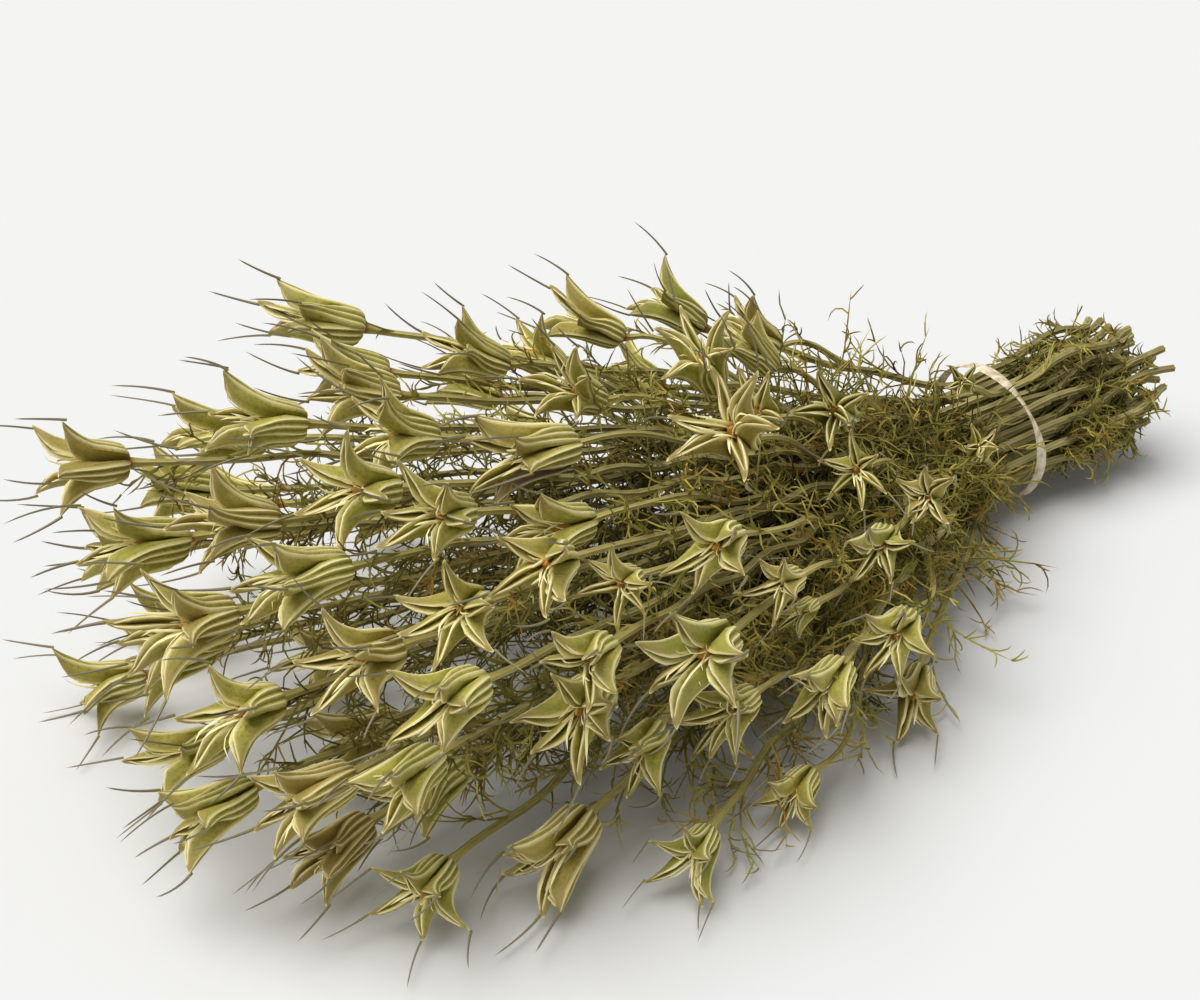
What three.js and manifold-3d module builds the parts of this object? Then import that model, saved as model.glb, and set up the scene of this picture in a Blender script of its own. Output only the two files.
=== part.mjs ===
// A tied bunch of dried nigella seed pods, lying on a surface.
// Millimetres, +Z up. The stems run along X: the pods are at -X and the cut ends at +X.
// The origin is the flat spot under the tie, where the bunch rests.
import * as THREE from "three";
import { mergeVertices } from "three/addons/utils/BufferGeometryUtils.js";
import Module from "manifold-3d";

const wasm = await Module();
wasm.setup();

// Driving dimensions of the bunch
const CUT_END = 90; // from the tie to the cut ends
const CUT_RAGGED = 16; // how unevenly the ends are cut
const CUT_SPREAD = 0.3; // how far the cut ends open out again behind the tie
const CUT_RISE = 0.06; // slope of the stems behind the tie
const STATION = 10; // spacing of the cross-sections that the stems pass through
const FAN_START = 0.16; // share of a stem over which it turns from the tie into the fan
const FAN_RISE = 0.12; // slope of the middle of the fan
const BUNCH_MIDDLE = 45; // height of the middle of the fan
const TIE_HALF_WIDTH = 31;
const TIE_HALF_HEIGHT = 29;
const TIE_BAND = 4.6; // width of the tie along the stems
const TIE_THICK = 1.2;
const TIE_SIDES = 24;
const TIE_SHIFT = 0.6; // the tie's middle lies this far in front of the origin
const SLOT_FILL = 0.8; // share of the tie's width that the stems are first laid over
const SLOT_SIDEWAYS = 2.6;
const SLOT_UPWARD = 4;

// Driving dimensions of a stem, a thread leaf and a pod
const STEM_RADIUS = 1.5;
const BRANCH_RADIUS = 1.2;
const STEM_SIDES = 3;
const STEM_STEP = 42; // length of one straight piece of a stem
const ROOT = 3; // how deep a piece is sunk in what it grows from
const THREAD_RADIUS = 0.6;
const THREAD_LENGTH = [16, 30];
const THREADS_PER_STEM = 4;
const THREAD_TRIES = 6;
const THREAD_BEND = 0.3; // bend of a thread's middle, as a share of its length
const THREAD_SPAN = [0.01, 0.93]; // the share of a stem that has threads
const THREAD_OUT = 0.75; // how far a thread heads away from its stem
const THREAD_ALONG = [-0.3, 0.8]; // how far it heads along its stem
const THREAD_LOW = 2; // least height of a thread's tip
const THREAD_POD_ROOM = 1.1; // a thread clears a pod's room by this share
const THREAD_TIE_CLEAR = 8;
const LOBES = [5, 6, 5]; // follicles in a pod
const BRANCH_RUN = [3, 0.042]; // a branch is this many stations long, or this share of its reach
const CLEARANCE = 0.6; // least gap between one stem's pieces and the next stem's
const STEM_SPACING = 5.4; // least distance between two stems' middles
const STEM_LOW = 2.4; // least height of a stem's middle
const POD_LOW = 0.9; // a pod's wide end rests this low, as a share of its room
const SETTLE_ROUNDS = 240;
const PUSH = 0.3; // share of an overlap that is taken out in one round
const POD_GIVE = 0.4; // how much a pod gives way to a stem
const SMOOTHING = 3; // rounds of smoothing along a stem
const BEND_POWER = 1.5; // how a push at a pod fades towards the tie
const WELD = 1e-4; // points closer than this are one
const FOLLICLE_HALF = 2; // half the thickness of a follicle's free end
const BEAK_HALF = 0.7;
const BEAK_BROKEN = 0.25; // what is left of a broken beak
const BEAK_LOW = 4; // a beak that would reach lower has broken off
const POD_NEIGHBOUR = 75; // pods further apart than this can not touch
const FLOOR_EASE = 12; // a pod or a thread bends along the surface from this height down

// A pod's outline at full size: [height up the pod, distance from its axis], closed pod then open pod
const KEEL = {
  shoulder: [[3.5, 6.4], [3.5, 6.4]],
  waist: [[15, 8], [14.5, 8.8]],
  flare: [[25, 10], [23, 13.5]],
  hood: [[33, 11.5], [28.5, 18.5]],
  beak: [[48, 13.5], [40, 26]],
  hoodInside: [[33.8, 10.6], [29.6, 17.9]],
  flareInside: [[25, 5], [23.5, 7.6]],
};
const CUP_FLOOR = 15.5; // height of the bottom of an open pod
const VALLEY = { shoulder: [3.5, 4.6], waist: [14, 5.8], top: [20, 6] };
const POD_BALLS = [[10, 10.5], [26, 17]]; // [height, radius] of the room that a pod keeps clear

// The draws that set one shoot apart from the next
const DRAW = { open: 1, lobes: 2, spin: 3, cut: 4, threads: 10 };
const DRAWS_PER_THREAD = 4;

const PLANT_COLOUR = 0x96904f;
const TIE_COLOUR = 0xd8cfb8;

// The stems. A row holds its pods as [reach from the tie, across the bunch, height, turn outwards, size]:
// the stem's own pod first, then those on its side branches.
const STEMS = [
  // the high ridge and the far side of the fan
  [[230, 105, 105, 0, 1.05]],
  [[350, 68, 105, 0, 1], [210, 42, 108, 0.3, 0.85]],
  [[260, 38, 114, 0.1, 1], [150, 50, 98, 0.3, 0.85]],
  [[270, 5, 112, 0.1, 1], [150, -5, 98, 0.6, 0.9]],
  [[330, 12, 112, 0.1, 1], [200, 0, 108, 0.3, 0.85]],
  [[310, 12, 116, 0.1, 1], [110, 12, 88, 0.4, 0.8]],
  [[350, 24, 98, 0, 1.05]],
  [[110, 50, 90, 0.4, 0.85], [90, 28, 84, 0.4, 0.8]],
  // the top and the near shoulder
  [[300, -28, 112, 0.1, 1], [230, -25, 110, 0.1, 1.1], [110, -25, 82, 0.3, 0.9]],
  [[330, -38, 108, 0, 1.05], [140, -28, 92, 0.25, 0.8]],
  [[290, -55, 108, 0.2, 0.95], [170, -42, 102, 0.4, 1.05]],
  [[300, -70, 104, 0.3, 0.95], [250, -55, 104, 0.2, 0.95]],
  [[330, -66, 90, 0.1, 1]],
  [[30, -16, 66, 0.2, 0.55]],
  [[280, -75, 100, 0.35, 1], [120, -50, 76, 0.3, 0.7]],
  [[320, -82, 82, 0.1, 1], [250, -84, 94, 0.3, 0.7]],
  [[280, -94, 92, 0.25, 0.9], [210, -90, 86, 0.25, 0.9]],
  [[230, -98, 80, 0.05, 1.1], [130, -72, 62, 0.3, 0.8]],
  [[270, -95, 60, 0.2, 1.1], [190, -92, 78, 0.15, 0.65]],
  [[250, -92, 54, 0.2, 0.85], [180, -92, 64, 0.15, 0.5]],
  [[210, -84, 41, 0.15, 0.8], [100, -62, 60, 0.3, 0.8]],
  // the near side, low down
  [[280, -95, 20, 0.1, 1.1], [220, -108, 48, 0.1, 0.8]],
  [[250, -122, 16, 0.1, 0.75], [200, -116, 14, 0.15, 0.75]],
  [[180, -96, 44, 0.05, 0.95], [140, -98, 44, 0.15, 0.85]],
  [[130, -96, 16, 0.1, 0.9], [50, -42, 54, 0.3, 0.6]],
  [[330, -78, 62, 0.2, 1]],
  [[350, -62, 56, 0, 1]],
  [[360, -42, 68, 0.1, 1]],
  [[360, -14, 84, 0, 1.05]],
  [[350, 2, 72, 0.1, 0.95]],
  [[370, -36, 38, 0.1, 0.95]],
  [[360, -2, 34, 0, 0.9]],
  [[340, -60, 26, 0.15, 0.95]],
  [[330, -84, 22, 0.2, 0.9]],
  [[310, -66, 38, 0.1, 0.95]],
  // the far side and underneath
  [[340, 58, 72, 0.1, 1], [180, 48, 94, 0.4, 0.85]],
  [[300, 95, 64, 0.2, 1], [180, 88, 66, 0.5, 0.85]],
  [[290, 78, 90, 0.1, 1], [120, 62, 62, 0.6, 0.8]],
  [[270, 108, 42, 0.3, 0.95], [150, 86, 38, 0.6, 0.85]],
  [[310, 92, 15, 0.2, 1], [210, 100, 22, 0.5, 0.9]],
  [[350, 72, 16, 0.1, 0.95]],
  [[340, 36, 44, 0, 1]],
  [[300, -14, 24, 0, 0.95]],
  [[280, 36, 20, 0, 0.95]],
  [[240, 74, 102, 0.1, 0.9], [100, 54, 34, 0.5, 0.8]],
];

// A number from 0 to 1 that is always the same for the same pair of whole numbers
function chance(row, draw) {
  const wave = Math.sin(row * 12.9898 + draw * 78.233) * 43758.5453;
  return wave - Math.floor(wave);
}

const mix = (from, to, share) => from + (to - from) * share;
const stationX = (k) => CUT_END - STATION * k;
const stationOf = (x) => Math.round((CUT_END - x) / STATION);
const TIE_STATION = stationOf(0);

// Where a stem crosses the tie: stems that end side by side in the fan lie side by side there
function tieSlot([reach, across, height]) {
  const sideways = (across / reach) * SLOT_SIDEWAYS;
  const upward = ((height - TIE_HALF_HEIGHT) / reach - FAN_RISE) * SLOT_UPWARD;
  const shrink = SLOT_FILL / Math.hypot(1, sideways, upward);
  return [sideways * shrink * TIE_HALF_WIDTH, upward * shrink * TIE_HALF_HEIGHT];
}

// A stem's line from its cut end to its own pod, as [y, z] at each station
function layStem(pod) {
  const [reach, across, height] = pod;
  const [slotY, slotZ] = tieSlot(pod);
  const line = [];
  for (let k = 0; k <= stationOf(-reach); k++) {
    const x = stationX(k);
    if (x >= 0) {
      const spread = 1 + CUT_SPREAD * (x / CUT_END) ** 2;
      line.push([slotY * spread, TIE_HALF_HEIGHT + slotZ * spread + CUT_RISE * x]);
    } else {
      const eased = Math.hypot(-x / reach, FAN_START) - FAN_START;
      const share = eased / (Math.hypot(1, FAN_START) - FAN_START);
      line.push([mix(slotY, across, share), mix(TIE_HALF_HEIGHT + slotZ, height, share)]);
    }
  }
  return line;
}

// A side branch leaves its stem behind its pod and curves out to it
function layBranch(stem, [reach, across, height]) {
  const end = stationOf(-reach);
  const run = Math.max(BRANCH_RUN[0], Math.round(reach * BRANCH_RUN[1]));
  const start = Math.max(TIE_STATION - 2, end - run);
  const line = [];
  for (let k = start; k <= end; k++) {
    const t = (k - start) / (end - start);
    const own = stem.line[Math.min(k, stem.line.length - 1)];
    const share = t * t * (3 - 2 * t);
    line.push([mix(own[0], across, share), mix(own[1], height, share)]);
  }
  return { start, line };
}

// The way that a pod looks: along its stem, turned towards the outside of the bunch
function podAim({ line, pod }) {
  const turn = pod[3];
  const last = line[line.length - 1];
  const before = line[line.length - 3];
  const along = new THREE.Vector3(-2 * STATION, last[0] - before[0], last[1] - before[1]).normalize();
  const outwards = new THREE.Vector3(0, last[0], last[1] - BUNCH_MIDDLE).normalize();
  return along.multiplyScalar(1 - turn).addScaledVector(outwards, turn).normalize();
}

function layBunch() {
  const shoots = [];
  STEMS.forEach((pods, node) => {
    const stem = { node, start: 0, line: layStem(pods[0]), pod: pods[0] };
    shoots.push(stem);
    for (const pod of pods.slice(1)) shoots.push({ node, pod, stem, ...layBranch(stem, pod) });
  });
  for (const shoot of shoots) {
    shoot.aim = podAim(shoot);
    shoot.size = shoot.pod[4];
  }
  return shoots;
}

function podBase(shoot) {
  const [y, z] = shoot.line[shoot.line.length - 1];
  return new THREE.Vector3(stationX(shoot.start + shoot.line.length - 1), y, z);
}

// The round rooms that a pod keeps clear of other stems
function podBalls(shoot) {
  const base = podBase(shoot);
  return POD_BALLS.map(([height, radius]) => ({
    centre: base.clone().addScaledVector(shoot.aim, height * shoot.size),
    radius: radius * shoot.size,
  }));
}

// How far apart, across the bunch, two round things must move to be clear: [y, z] for the first of them
function pushApart(y, z, along, reach) {
  if (Math.abs(along) >= reach) return null;
  const need = Math.sqrt(reach * reach - along * along);
  const apart = Math.hypot(y, z);
  if (apart >= need) return null;
  if (apart < 1e-6) return [need, 0];
  return [(y / apart) * (need - apart), (z / apart) * (need - apart)];
}

// Moves the stems and pods of different plants clear of each other, of the surface and of the tie
function settle(shoots) {
  for (let round = 0; round < SETTLE_ROUNDS; round++) {
    const pushes = shoots.map(({ line }) => line.map(() => [0, 0]));
    const podPushes = shoots.map(() => [0, 0]);
    const balls = shoots.map(podBalls);
    const move = (push, by, share) => {
      push[0] += by[0] * share;
      push[1] += by[1] * share;
    };
    shoots.forEach((shoot, i) => {
      shoots.forEach((other, j) => {
        if (other.node === shoot.node) return;
        const first = Math.max(shoot.start, other.start);
        const last = Math.min(shoot.start + shoot.line.length, other.start + other.line.length);
        for (let k = first; k < last && i < j; k++) {
          const [y, z] = shoot.line[k - shoot.start];
          const [otherY, otherZ] = other.line[k - other.start];
          const by = pushApart(y - otherY, z - otherZ, 0, STEM_SPACING);
          if (!by) continue;
          move(pushes[i][k - shoot.start], by, PUSH);
          move(pushes[j][k - other.start], by, -PUSH);
        }
        for (const { centre, radius } of balls[i]) {
          for (const ball of balls[j]) {
            const reach = radius + ball.radius;
            if (Math.abs(centre.x - ball.centre.x) >= reach) continue;
            const by = pushApart(
              centre.y - ball.centre.y, centre.z - ball.centre.z, centre.x - ball.centre.x, reach,
            );
            if (by) move(podPushes[i], by, PUSH);
          }
          const reach = radius + STEM_RADIUS + CLEARANCE;
          const near = Math.max(0, Math.ceil((CUT_END - centre.x - reach) / STATION) - other.start);
          const far = Math.floor((CUT_END - centre.x + reach) / STATION) - other.start;
          for (let k = near; k <= far && k < other.line.length; k++) {
            const [y, z] = other.line[k];
            const by = pushApart(y - centre.y, z - centre.z, stationX(k + other.start) - centre.x, reach);
            if (!by) continue;
            move(pushes[j][k], by, PUSH);
            move(podPushes[i], by, -PUSH * POD_GIVE);
          }
        }
      });
      const wide = balls[i][1];
      const low = wide.radius * POD_LOW - wide.centre.z;
      if (low > 0) podPushes[i][1] += low * PUSH;
    });
    shoots.forEach((shoot, i) => applyPushes(shoot, pushes[i], podPushes[i]));
  }
  return shoots;
}

// Spreads the pushes smoothly along a stem, so that it bends and does not kink
function applyPushes(shoot, pushes, podPush) {
  const { line, start, stem } = shoot;
  const last = line.length - 1;
  const fixed = stem ? 0 : TIE_STATION;
  for (let pass = 0; pass < SMOOTHING; pass++) {
    const before = pushes.map((push) => [...push]);
    for (let k = 0; k <= last; k++) {
      for (const axis of [0, 1]) {
        const sides = before[Math.max(0, k - 1)][axis] + before[Math.min(last, k + 1)][axis];
        pushes[k][axis] = before[k][axis] / 2 + sides / 4;
      }
    }
  }
  for (let k = 0; k <= last; k++) {
    const share = Math.max(0, (k - fixed) / (last - fixed)) ** BEND_POWER;
    line[k][0] += pushes[k][0] + podPush[0] * share;
    line[k][1] = Math.max(STEM_LOW, line[k][1] + pushes[k][1] + podPush[1] * share);
    if (Math.abs(k + start - TIE_STATION) <= 1) keepInTie(line[k]);
  }
  if (stem) line[0] = [...stem.line[start]];
}

function keepInTie(point) {
  const room = TIE_THICK + STEM_RADIUS + CLEARANCE;
  const over = Math.hypot(
    point[0] / (TIE_HALF_WIDTH - room), (point[1] - TIE_HALF_HEIGHT) / (TIE_HALF_HEIGHT - room),
  );
  if (over <= 1) return;
  point[0] /= over;
  point[1] = TIE_HALF_HEIGHT + (point[1] - TIE_HALF_HEIGHT) / over;
}

// What would pass under the surface bends along it
function overSurface(z) {
  if (z >= FLOOR_EASE) return z;
  return FLOOR_EASE * Math.exp((z - FLOOR_EASE) / FLOOR_EASE);
}

// A closed solid from a three.js geometry
function solidFrom(geometry) {
  const bare = new THREE.BufferGeometry();
  bare.setAttribute("position", geometry.getAttribute("position"));
  if (geometry.index) bare.setIndex(geometry.index);
  const merged = mergeVertices(bare, WELD);
  const faces = [];
  const index = merged.index.array;
  for (let i = 0; i < index.length; i += 3) {
    const [a, b, c] = [index[i], index[i + 1], index[i + 2]];
    if (a !== b && b !== c && c !== a) faces.push(a, b, c);
  }
  return new wasm.Manifold(new wasm.Mesh({
    numProp: 3,
    vertProperties: new Float32Array(merged.getAttribute("position").array),
    triVerts: new Uint32Array(faces),
  }));
}

function tubeSolid(path, radius) {
  const corners = [];
  for (let i = 0; i < STEM_SIDES; i++) {
    const angle = (i / STEM_SIDES) * 2 * Math.PI;
    corners.push(new THREE.Vector2(radius * Math.cos(angle), radius * Math.sin(angle)));
  }
  const shape = new THREE.Shape(corners);
  return solidFrom(new THREE.ExtrudeGeometry(shape, { steps: path.spots.length - 1, extrudePath: path }));
}

// What sets one pod apart: its follicles, how far they have opened, and where they stand
function podShape(shoot, row) {
  const open = chance(row, DRAW.open);
  const lobes = LOBES[Math.floor(chance(row, DRAW.lobes) * LOBES.length)];
  const keel = {};
  for (const [name, [closed, wide]] of Object.entries(KEEL)) {
    keel[name] = [mix(closed[0], wide[0], open), mix(closed[1], wide[1], open)];
  }
  const up = new THREE.Vector3(0, 1, 0);
  const turn = new THREE.Quaternion().setFromUnitVectors(up, shoot.aim);
  turn.multiply(new THREE.Quaternion().setFromAxisAngle(up, chance(row, DRAW.spin) * Math.PI));
  const base = podBase(shoot);
  const place = ([height, out], column) => {
    const angle = (column / lobes) * Math.PI;
    const point = new THREE.Vector3(out * Math.sin(angle), height, out * Math.cos(angle));
    point.multiplyScalar(shoot.size).applyQuaternion(turn).add(base);
    return point.setZ(overSurface(point.z));
  };
  return {
    node: shoot.node,
    lobes,
    keel,
    place,
    beaks: new Array(lobes).fill(1),
    centre: podBalls(shoot)[1].centre,
    body: [base, place([CUP_FLOOR, 0], 0)],
    bodyRadius: keel.waist[1] * shoot.size,
  };
}

function beakSpot({ keel, beaks }, lobe) {
  return [0, 1].map((i) => mix(keel.hood[i], keel.beak[i], beaks[lobe]));
}

// The straight pieces that stand for one follicle's free end
function folliclePieces(shape, lobe) {
  const hood = shape.place(shape.keel.hood, lobe * 2);
  return [
    [shape.place(shape.keel.waist, lobe * 2), hood, FOLLICLE_HALF],
    [hood, shape.place(beakSpot(shape, lobe), lobe * 2), BEAK_HALF],
  ];
}

// Whether a straight piece of a given half thickness comes too near to another plant's stem
function nearStem([from, to], half, node, shoots, paths) {
  const room = STEM_RADIUS + half + CLEARANCE;
  return shoots.some((shoot, row) => {
    if (shoot.node === node) return false;
    const { spots } = paths[row];
    return spots.some((spot, k) => k > 0 && segmentGap(from, to, spots[k - 1], spot) < room);
  });
}

// A beak that would run into the surface or another stem has broken off short
function breakBeaks(shapes, shoots, paths) {
  for (const shape of shapes) {
    for (let lobe = 0; lobe < shape.lobes; lobe++) {
      const [, [hood, tip]] = folliclePieces(shape, lobe);
      const hitsSurface = tip.z < BEAK_LOW;
      const hitsStem = nearStem([hood, tip], BEAK_HALF, shape.node, shoots, paths);
      const hitsPod = shapes.some((other) => {
        if (other.node === shape.node || other.centre.distanceTo(shape.centre) > POD_NEIGHBOUR) return false;
        if (segmentGap(hood, tip, ...other.body) < other.bodyRadius + BEAK_HALF) return true;
        for (let i = 0; i < other.lobes; i++) {
          for (const [from, to, half] of folliclePieces(other, i)) {
            if (segmentGap(hood, tip, from, to) < half + BEAK_HALF + CLEARANCE) return true;
          }
        }
        return false;
      });
      if (hitsSurface || hitsStem || hitsPod) shape.beaks[lobe] = BEAK_BROKEN;
    }
  }
}

// A pod is turned round its axis with two columns to a follicle: its keel, and the valley beside it
function podSolid(shape) {
  const { lobes, keel, place } = shape;
  const top = VALLEY.top;
  const valleyRings = [VALLEY.shoulder, VALLEY.waist, top, top, top, top, top];
  const keelRings = Object.values(keel);
  const spots = [[0, 0], ...keelRings, [CUP_FLOOR, 0]];
  const outline = spots.map(([height, out]) => new THREE.Vector2(out, height));
  const geometry = new THREE.LatheGeometry(outline, lobes * 2);
  const position = geometry.getAttribute("position");
  const rings = outline.length;
  const beakRing = 1 + Object.keys(keel).indexOf("beak");
  for (let i = 0; i < position.count; i++) {
    const column = Math.floor(i / rings) % (lobes * 2);
    const ring = i % rings;
    let spot = [outline[ring].y, outline[ring].x];
    if (column % 2 && ring > 0 && ring < rings - 1) spot = valleyRings[ring - 1];
    else if (ring === beakRing) spot = beakSpot(shape, column / 2);
    position.setXYZ(i, ...place(spot, column));
  }
  return solidFrom(geometry);
}

// The least distance between two straight pieces
function segmentGap(a, b, c, d) {
  const u = b.clone().sub(a);
  const v = d.clone().sub(c);
  const w = a.clone().sub(c);
  const [uu, uv, vv, uw, vw] = [u.dot(u), u.dot(v), v.dot(v), u.dot(w), v.dot(w)];
  const det = uu * vv - uv * uv;
  let s = det < 1e-9 ? 0 : THREE.MathUtils.clamp((uv * vw - vv * uw) / det, 0, 1);
  const t = THREE.MathUtils.clamp((uv * s + vw) / vv, 0, 1);
  s = THREE.MathUtils.clamp((uv * t - uw) / uu, 0, 1);
  return w.addScaledVector(u, s).addScaledVector(v, -t).length();
}

// A thread leaf is a thin bent needle
function threadSolid({ points }) {
  const [root, , tip] = points;
  const geometry = new THREE.ConeGeometry(THREAD_RADIUS, 1, 3, 2);
  const position = geometry.getAttribute("position");
  const curve = new THREE.QuadraticBezierCurve3(...points);
  const along = tip.clone().sub(root).normalize();
  const turn = new THREE.Quaternion().setFromUnitVectors(new THREE.Vector3(0, 1, 0), along);
  for (let i = 0; i < position.count; i++) {
    const point = new THREE.Vector3().fromBufferAttribute(position, i);
    const share = point.y + 0.5;
    point.setY(0).applyQuaternion(turn).add(curve.getPoint(share));
    position.setXYZ(i, point.x, point.y, overSurface(point.z));
  }
  return solidFrom(geometry);
}

// Thread leaves stand out all round the stems wherever they clear the other stems
function layThreads(shoots, paths) {
  const threads = [];
  const rooms = shoots.map((shoot) => ({ node: shoot.node, balls: podBalls(shoot) }));
  STEMS.forEach((pods, node) => {
    const path = paths[shoots.findIndex((shoot) => shoot.node === node)];
    for (let i = 0; i < THREADS_PER_STEM; i++) {
      for (let attempt = 0; attempt < THREAD_TRIES; attempt++) {
        const draw = DRAW.threads + (i * THREAD_TRIES + attempt) * DRAWS_PER_THREAD;
        const share = (i + chance(node, draw)) / THREADS_PER_STEM;
        const spot = mix(...THREAD_SPAN, share);
        const root = path.getPointAt(spot);
        const along = path.getTangentAt(spot);
        const angle = chance(node, draw + 1) * 2 * Math.PI;
        const side = new THREE.Vector3(0, Math.cos(angle), Math.sin(angle));
        const length = mix(...THREAD_LENGTH, chance(node, draw + 2));
        const forward = mix(...THREAD_ALONG, chance(node, draw + 3));
        const heading = side.multiplyScalar(THREAD_OUT).addScaledVector(along, forward).normalize();
        const tip = root.clone().addScaledVector(heading, length);
        const middle = root.clone().lerp(tip, 0.5).addScaledVector(along, length * THREAD_BEND);
        if (Math.abs(root.x) < THREAD_TIE_CLEAR || tip.z < THREAD_LOW) continue;
        const thread = { node, points: [root, middle, tip] };
        if (!threadClear(thread, rooms, paths, shoots, threads)) continue;
        threads.push(thread);
        break;
      }
    }
  });
  return threads;
}

// The two straight pieces that stand for a thread
function threadPieces({ points }) {
  const halfway = new THREE.QuadraticBezierCurve3(...points).getPoint(0.5);
  return [[points[0], halfway], [halfway, points[2]]];
}

// Whether a thread keeps clear of the tie, the other plants' pods and stems, and the threads laid so far
function threadClear(thread, rooms, paths, shoots, threads) {
  const { node } = thread;
  const pieces = threadPieces(thread);
  const besideTie = ({ x }) => Math.abs(x) > TIE_BAND + CLEARANCE;
  if (!pieces.every(([a, b]) => besideTie(a) && besideTie(b) && a.x * b.x > 0)) return false;
  for (const room of rooms) {
    for (const { centre, radius } of room.balls) {
      if (room.node === node) continue;
      for (const [a, b] of pieces) {
        const nearest = new THREE.Line3(a, b).closestPointToPoint(centre, true, new THREE.Vector3());
        if (nearest.distanceTo(centre) < radius * THREAD_POD_ROOM + CLEARANCE) return false;
      }
    }
  }
  if (pieces.some((piece) => nearStem(piece, THREAD_RADIUS, node, shoots, paths))) return false;
  const room = 2 * THREAD_RADIUS + CLEARANCE;
  return !threads.some((other) => other.node !== node && threadPieces(other).some(
    (piece) => pieces.some((own) => segmentGap(...own, ...piece) < room),
  ));
}

// A shoot's line in space, from its cut end or its fork to inside its pod
function shootPath(shoot, row) {
  const base = podBase(shoot);
  const points = shoot.line.map(([y, z], k) => new THREE.Vector3(stationX(k + shoot.start), y, z));
  const cut = CUT_END - CUT_RAGGED * chance(row, DRAW.cut);
  const kept = shoot.stem ? points : points.filter((point) => point.x <= cut);
  kept.push(base.clone().addScaledVector(shoot.aim, ROOT));
  const path = new THREE.CatmullRomCurve3(kept);
  path.spots = path.getSpacedPoints(Math.max(4, Math.ceil(path.getLength() / STEM_STEP)));
  return path;
}

const material = (color, roughness) => new THREE.MeshStandardMaterial({ color, roughness, metalness: 0 });

function meshFrom(solid, name, finish) {
  const bodies = solid.decompose().sort((a, b) => b.volume() - a.volume());
  const { vertProperties, triVerts } = bodies[0].getMesh();
  const geometry = new THREE.BufferGeometry();
  geometry.setAttribute("position", new THREE.BufferAttribute(new Float32Array(vertProperties), 3));
  geometry.setIndex(new THREE.BufferAttribute(new Uint32Array(triVerts), 1));
  const mesh = new THREE.Mesh(geometry, finish);
  mesh.name = name;
  return mesh;
}

// The tie is a flat band round the stems, with one of its flats on the surface
function tieSolid() {
  const ring = (inset) => {
    const points = [];
    const stretch = 1 / Math.cos(Math.PI / TIE_SIDES);
    for (let i = 0; i < TIE_SIDES; i++) {
      const angle = ((i + 0.5) / TIE_SIDES) * 2 * Math.PI;
      points.push(new THREE.Vector2(
        (TIE_HALF_WIDTH - inset) * stretch * Math.cos(angle),
        TIE_HALF_HEIGHT + (TIE_HALF_HEIGHT - inset) * stretch * Math.sin(angle),
      ));
    }
    return points;
  };
  const shape = new THREE.Shape(ring(0));
  shape.holes.push(new THREE.Path(ring(TIE_THICK)));
  const band = new THREE.ExtrudeGeometry(shape, { depth: TIE_BAND, bevelEnabled: false });
  band.rotateX(Math.PI / 2).rotateZ(Math.PI / 2);
  band.translate(-TIE_BAND / 2 - TIE_SHIFT, 0, 0);
  return solidFrom(band);
}

function buildBunch() {
  const bunch = new THREE.Group();
  const shoots = settle(layBunch());
  const paths = shoots.map(shootPath);
  const shapes = shoots.map(podShape);
  breakBeaks(shapes, shoots, paths);
  const threads = layThreads(shoots, paths);
  const plant = material(PLANT_COLOUR, 0.8);
  STEMS.forEach((pods, node) => {
    let solid = null;
    const join = (piece) => {
      solid = solid ? solid.add(piece) : piece;
    };
    shoots.forEach((shoot, row) => {
      if (shoot.node !== node) return;
      const radius = shoot.stem ? BRANCH_RADIUS : STEM_RADIUS;
      join(tubeSolid(paths[row], radius));
      join(podSolid(shapes[row]));
    });
    for (const thread of threads) {
      if (thread.node === node) join(threadSolid(thread));
    }
    bunch.add(meshFrom(solid, `stem_${String(node + 1).padStart(2, "0")}`, plant));
  });
  bunch.add(meshFrom(tieSolid(), "tie", material(TIE_COLOUR, 0.7)));
  return bunch;
}

export default buildBunch();
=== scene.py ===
"""A tied bunch of dried nigella seed pods, lying on a pale floor: shapes, finishes, light and camera."""

import logging
import math
from collections.abc import Iterator
from dataclasses import dataclass, field
from enum import Enum, IntEnum

import bpy
import numpy as np
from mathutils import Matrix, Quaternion, Vector


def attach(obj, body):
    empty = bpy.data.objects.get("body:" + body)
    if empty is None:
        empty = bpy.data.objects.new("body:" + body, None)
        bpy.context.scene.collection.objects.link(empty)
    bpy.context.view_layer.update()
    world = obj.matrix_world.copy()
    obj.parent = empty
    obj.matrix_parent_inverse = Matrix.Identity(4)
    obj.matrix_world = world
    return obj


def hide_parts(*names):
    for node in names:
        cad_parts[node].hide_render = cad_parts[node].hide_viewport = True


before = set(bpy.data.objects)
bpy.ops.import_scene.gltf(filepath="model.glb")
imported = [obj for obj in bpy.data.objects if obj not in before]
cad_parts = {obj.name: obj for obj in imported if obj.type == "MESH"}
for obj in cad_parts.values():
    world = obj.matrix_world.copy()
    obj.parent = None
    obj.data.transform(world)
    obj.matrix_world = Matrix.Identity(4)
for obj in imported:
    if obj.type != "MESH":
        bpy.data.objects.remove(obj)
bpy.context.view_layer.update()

MM = 0.001
ROOT_BODY = "root"
TIE_NODE = "tie"
SEED = 20417
THREAD_SEED = 3 * SEED
SCRAMBLE = (12.9898, 78.233, 43758.5453)  # makes scattered numbers of whole ones
TINY = 1e-9  # keeps a division clear of zero
NOISE_DETAIL = 3
BAND_FINISH = 0  # the tie has one finish alone
MIX_SHARE, MIX_LOWER, MIX_UPPER, MIX_RESULT = 0, 6, 7, 2  # sockets of a Mix node that mixes colours
SHARP_FROM = 38  # an edge that bends by more degrees than this stays crisp

log = logging.getLogger("nigella_bunch")

Array = np.ndarray
Range = tuple[float, float]
PodRow = tuple[float, float, float, float, float]

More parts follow.
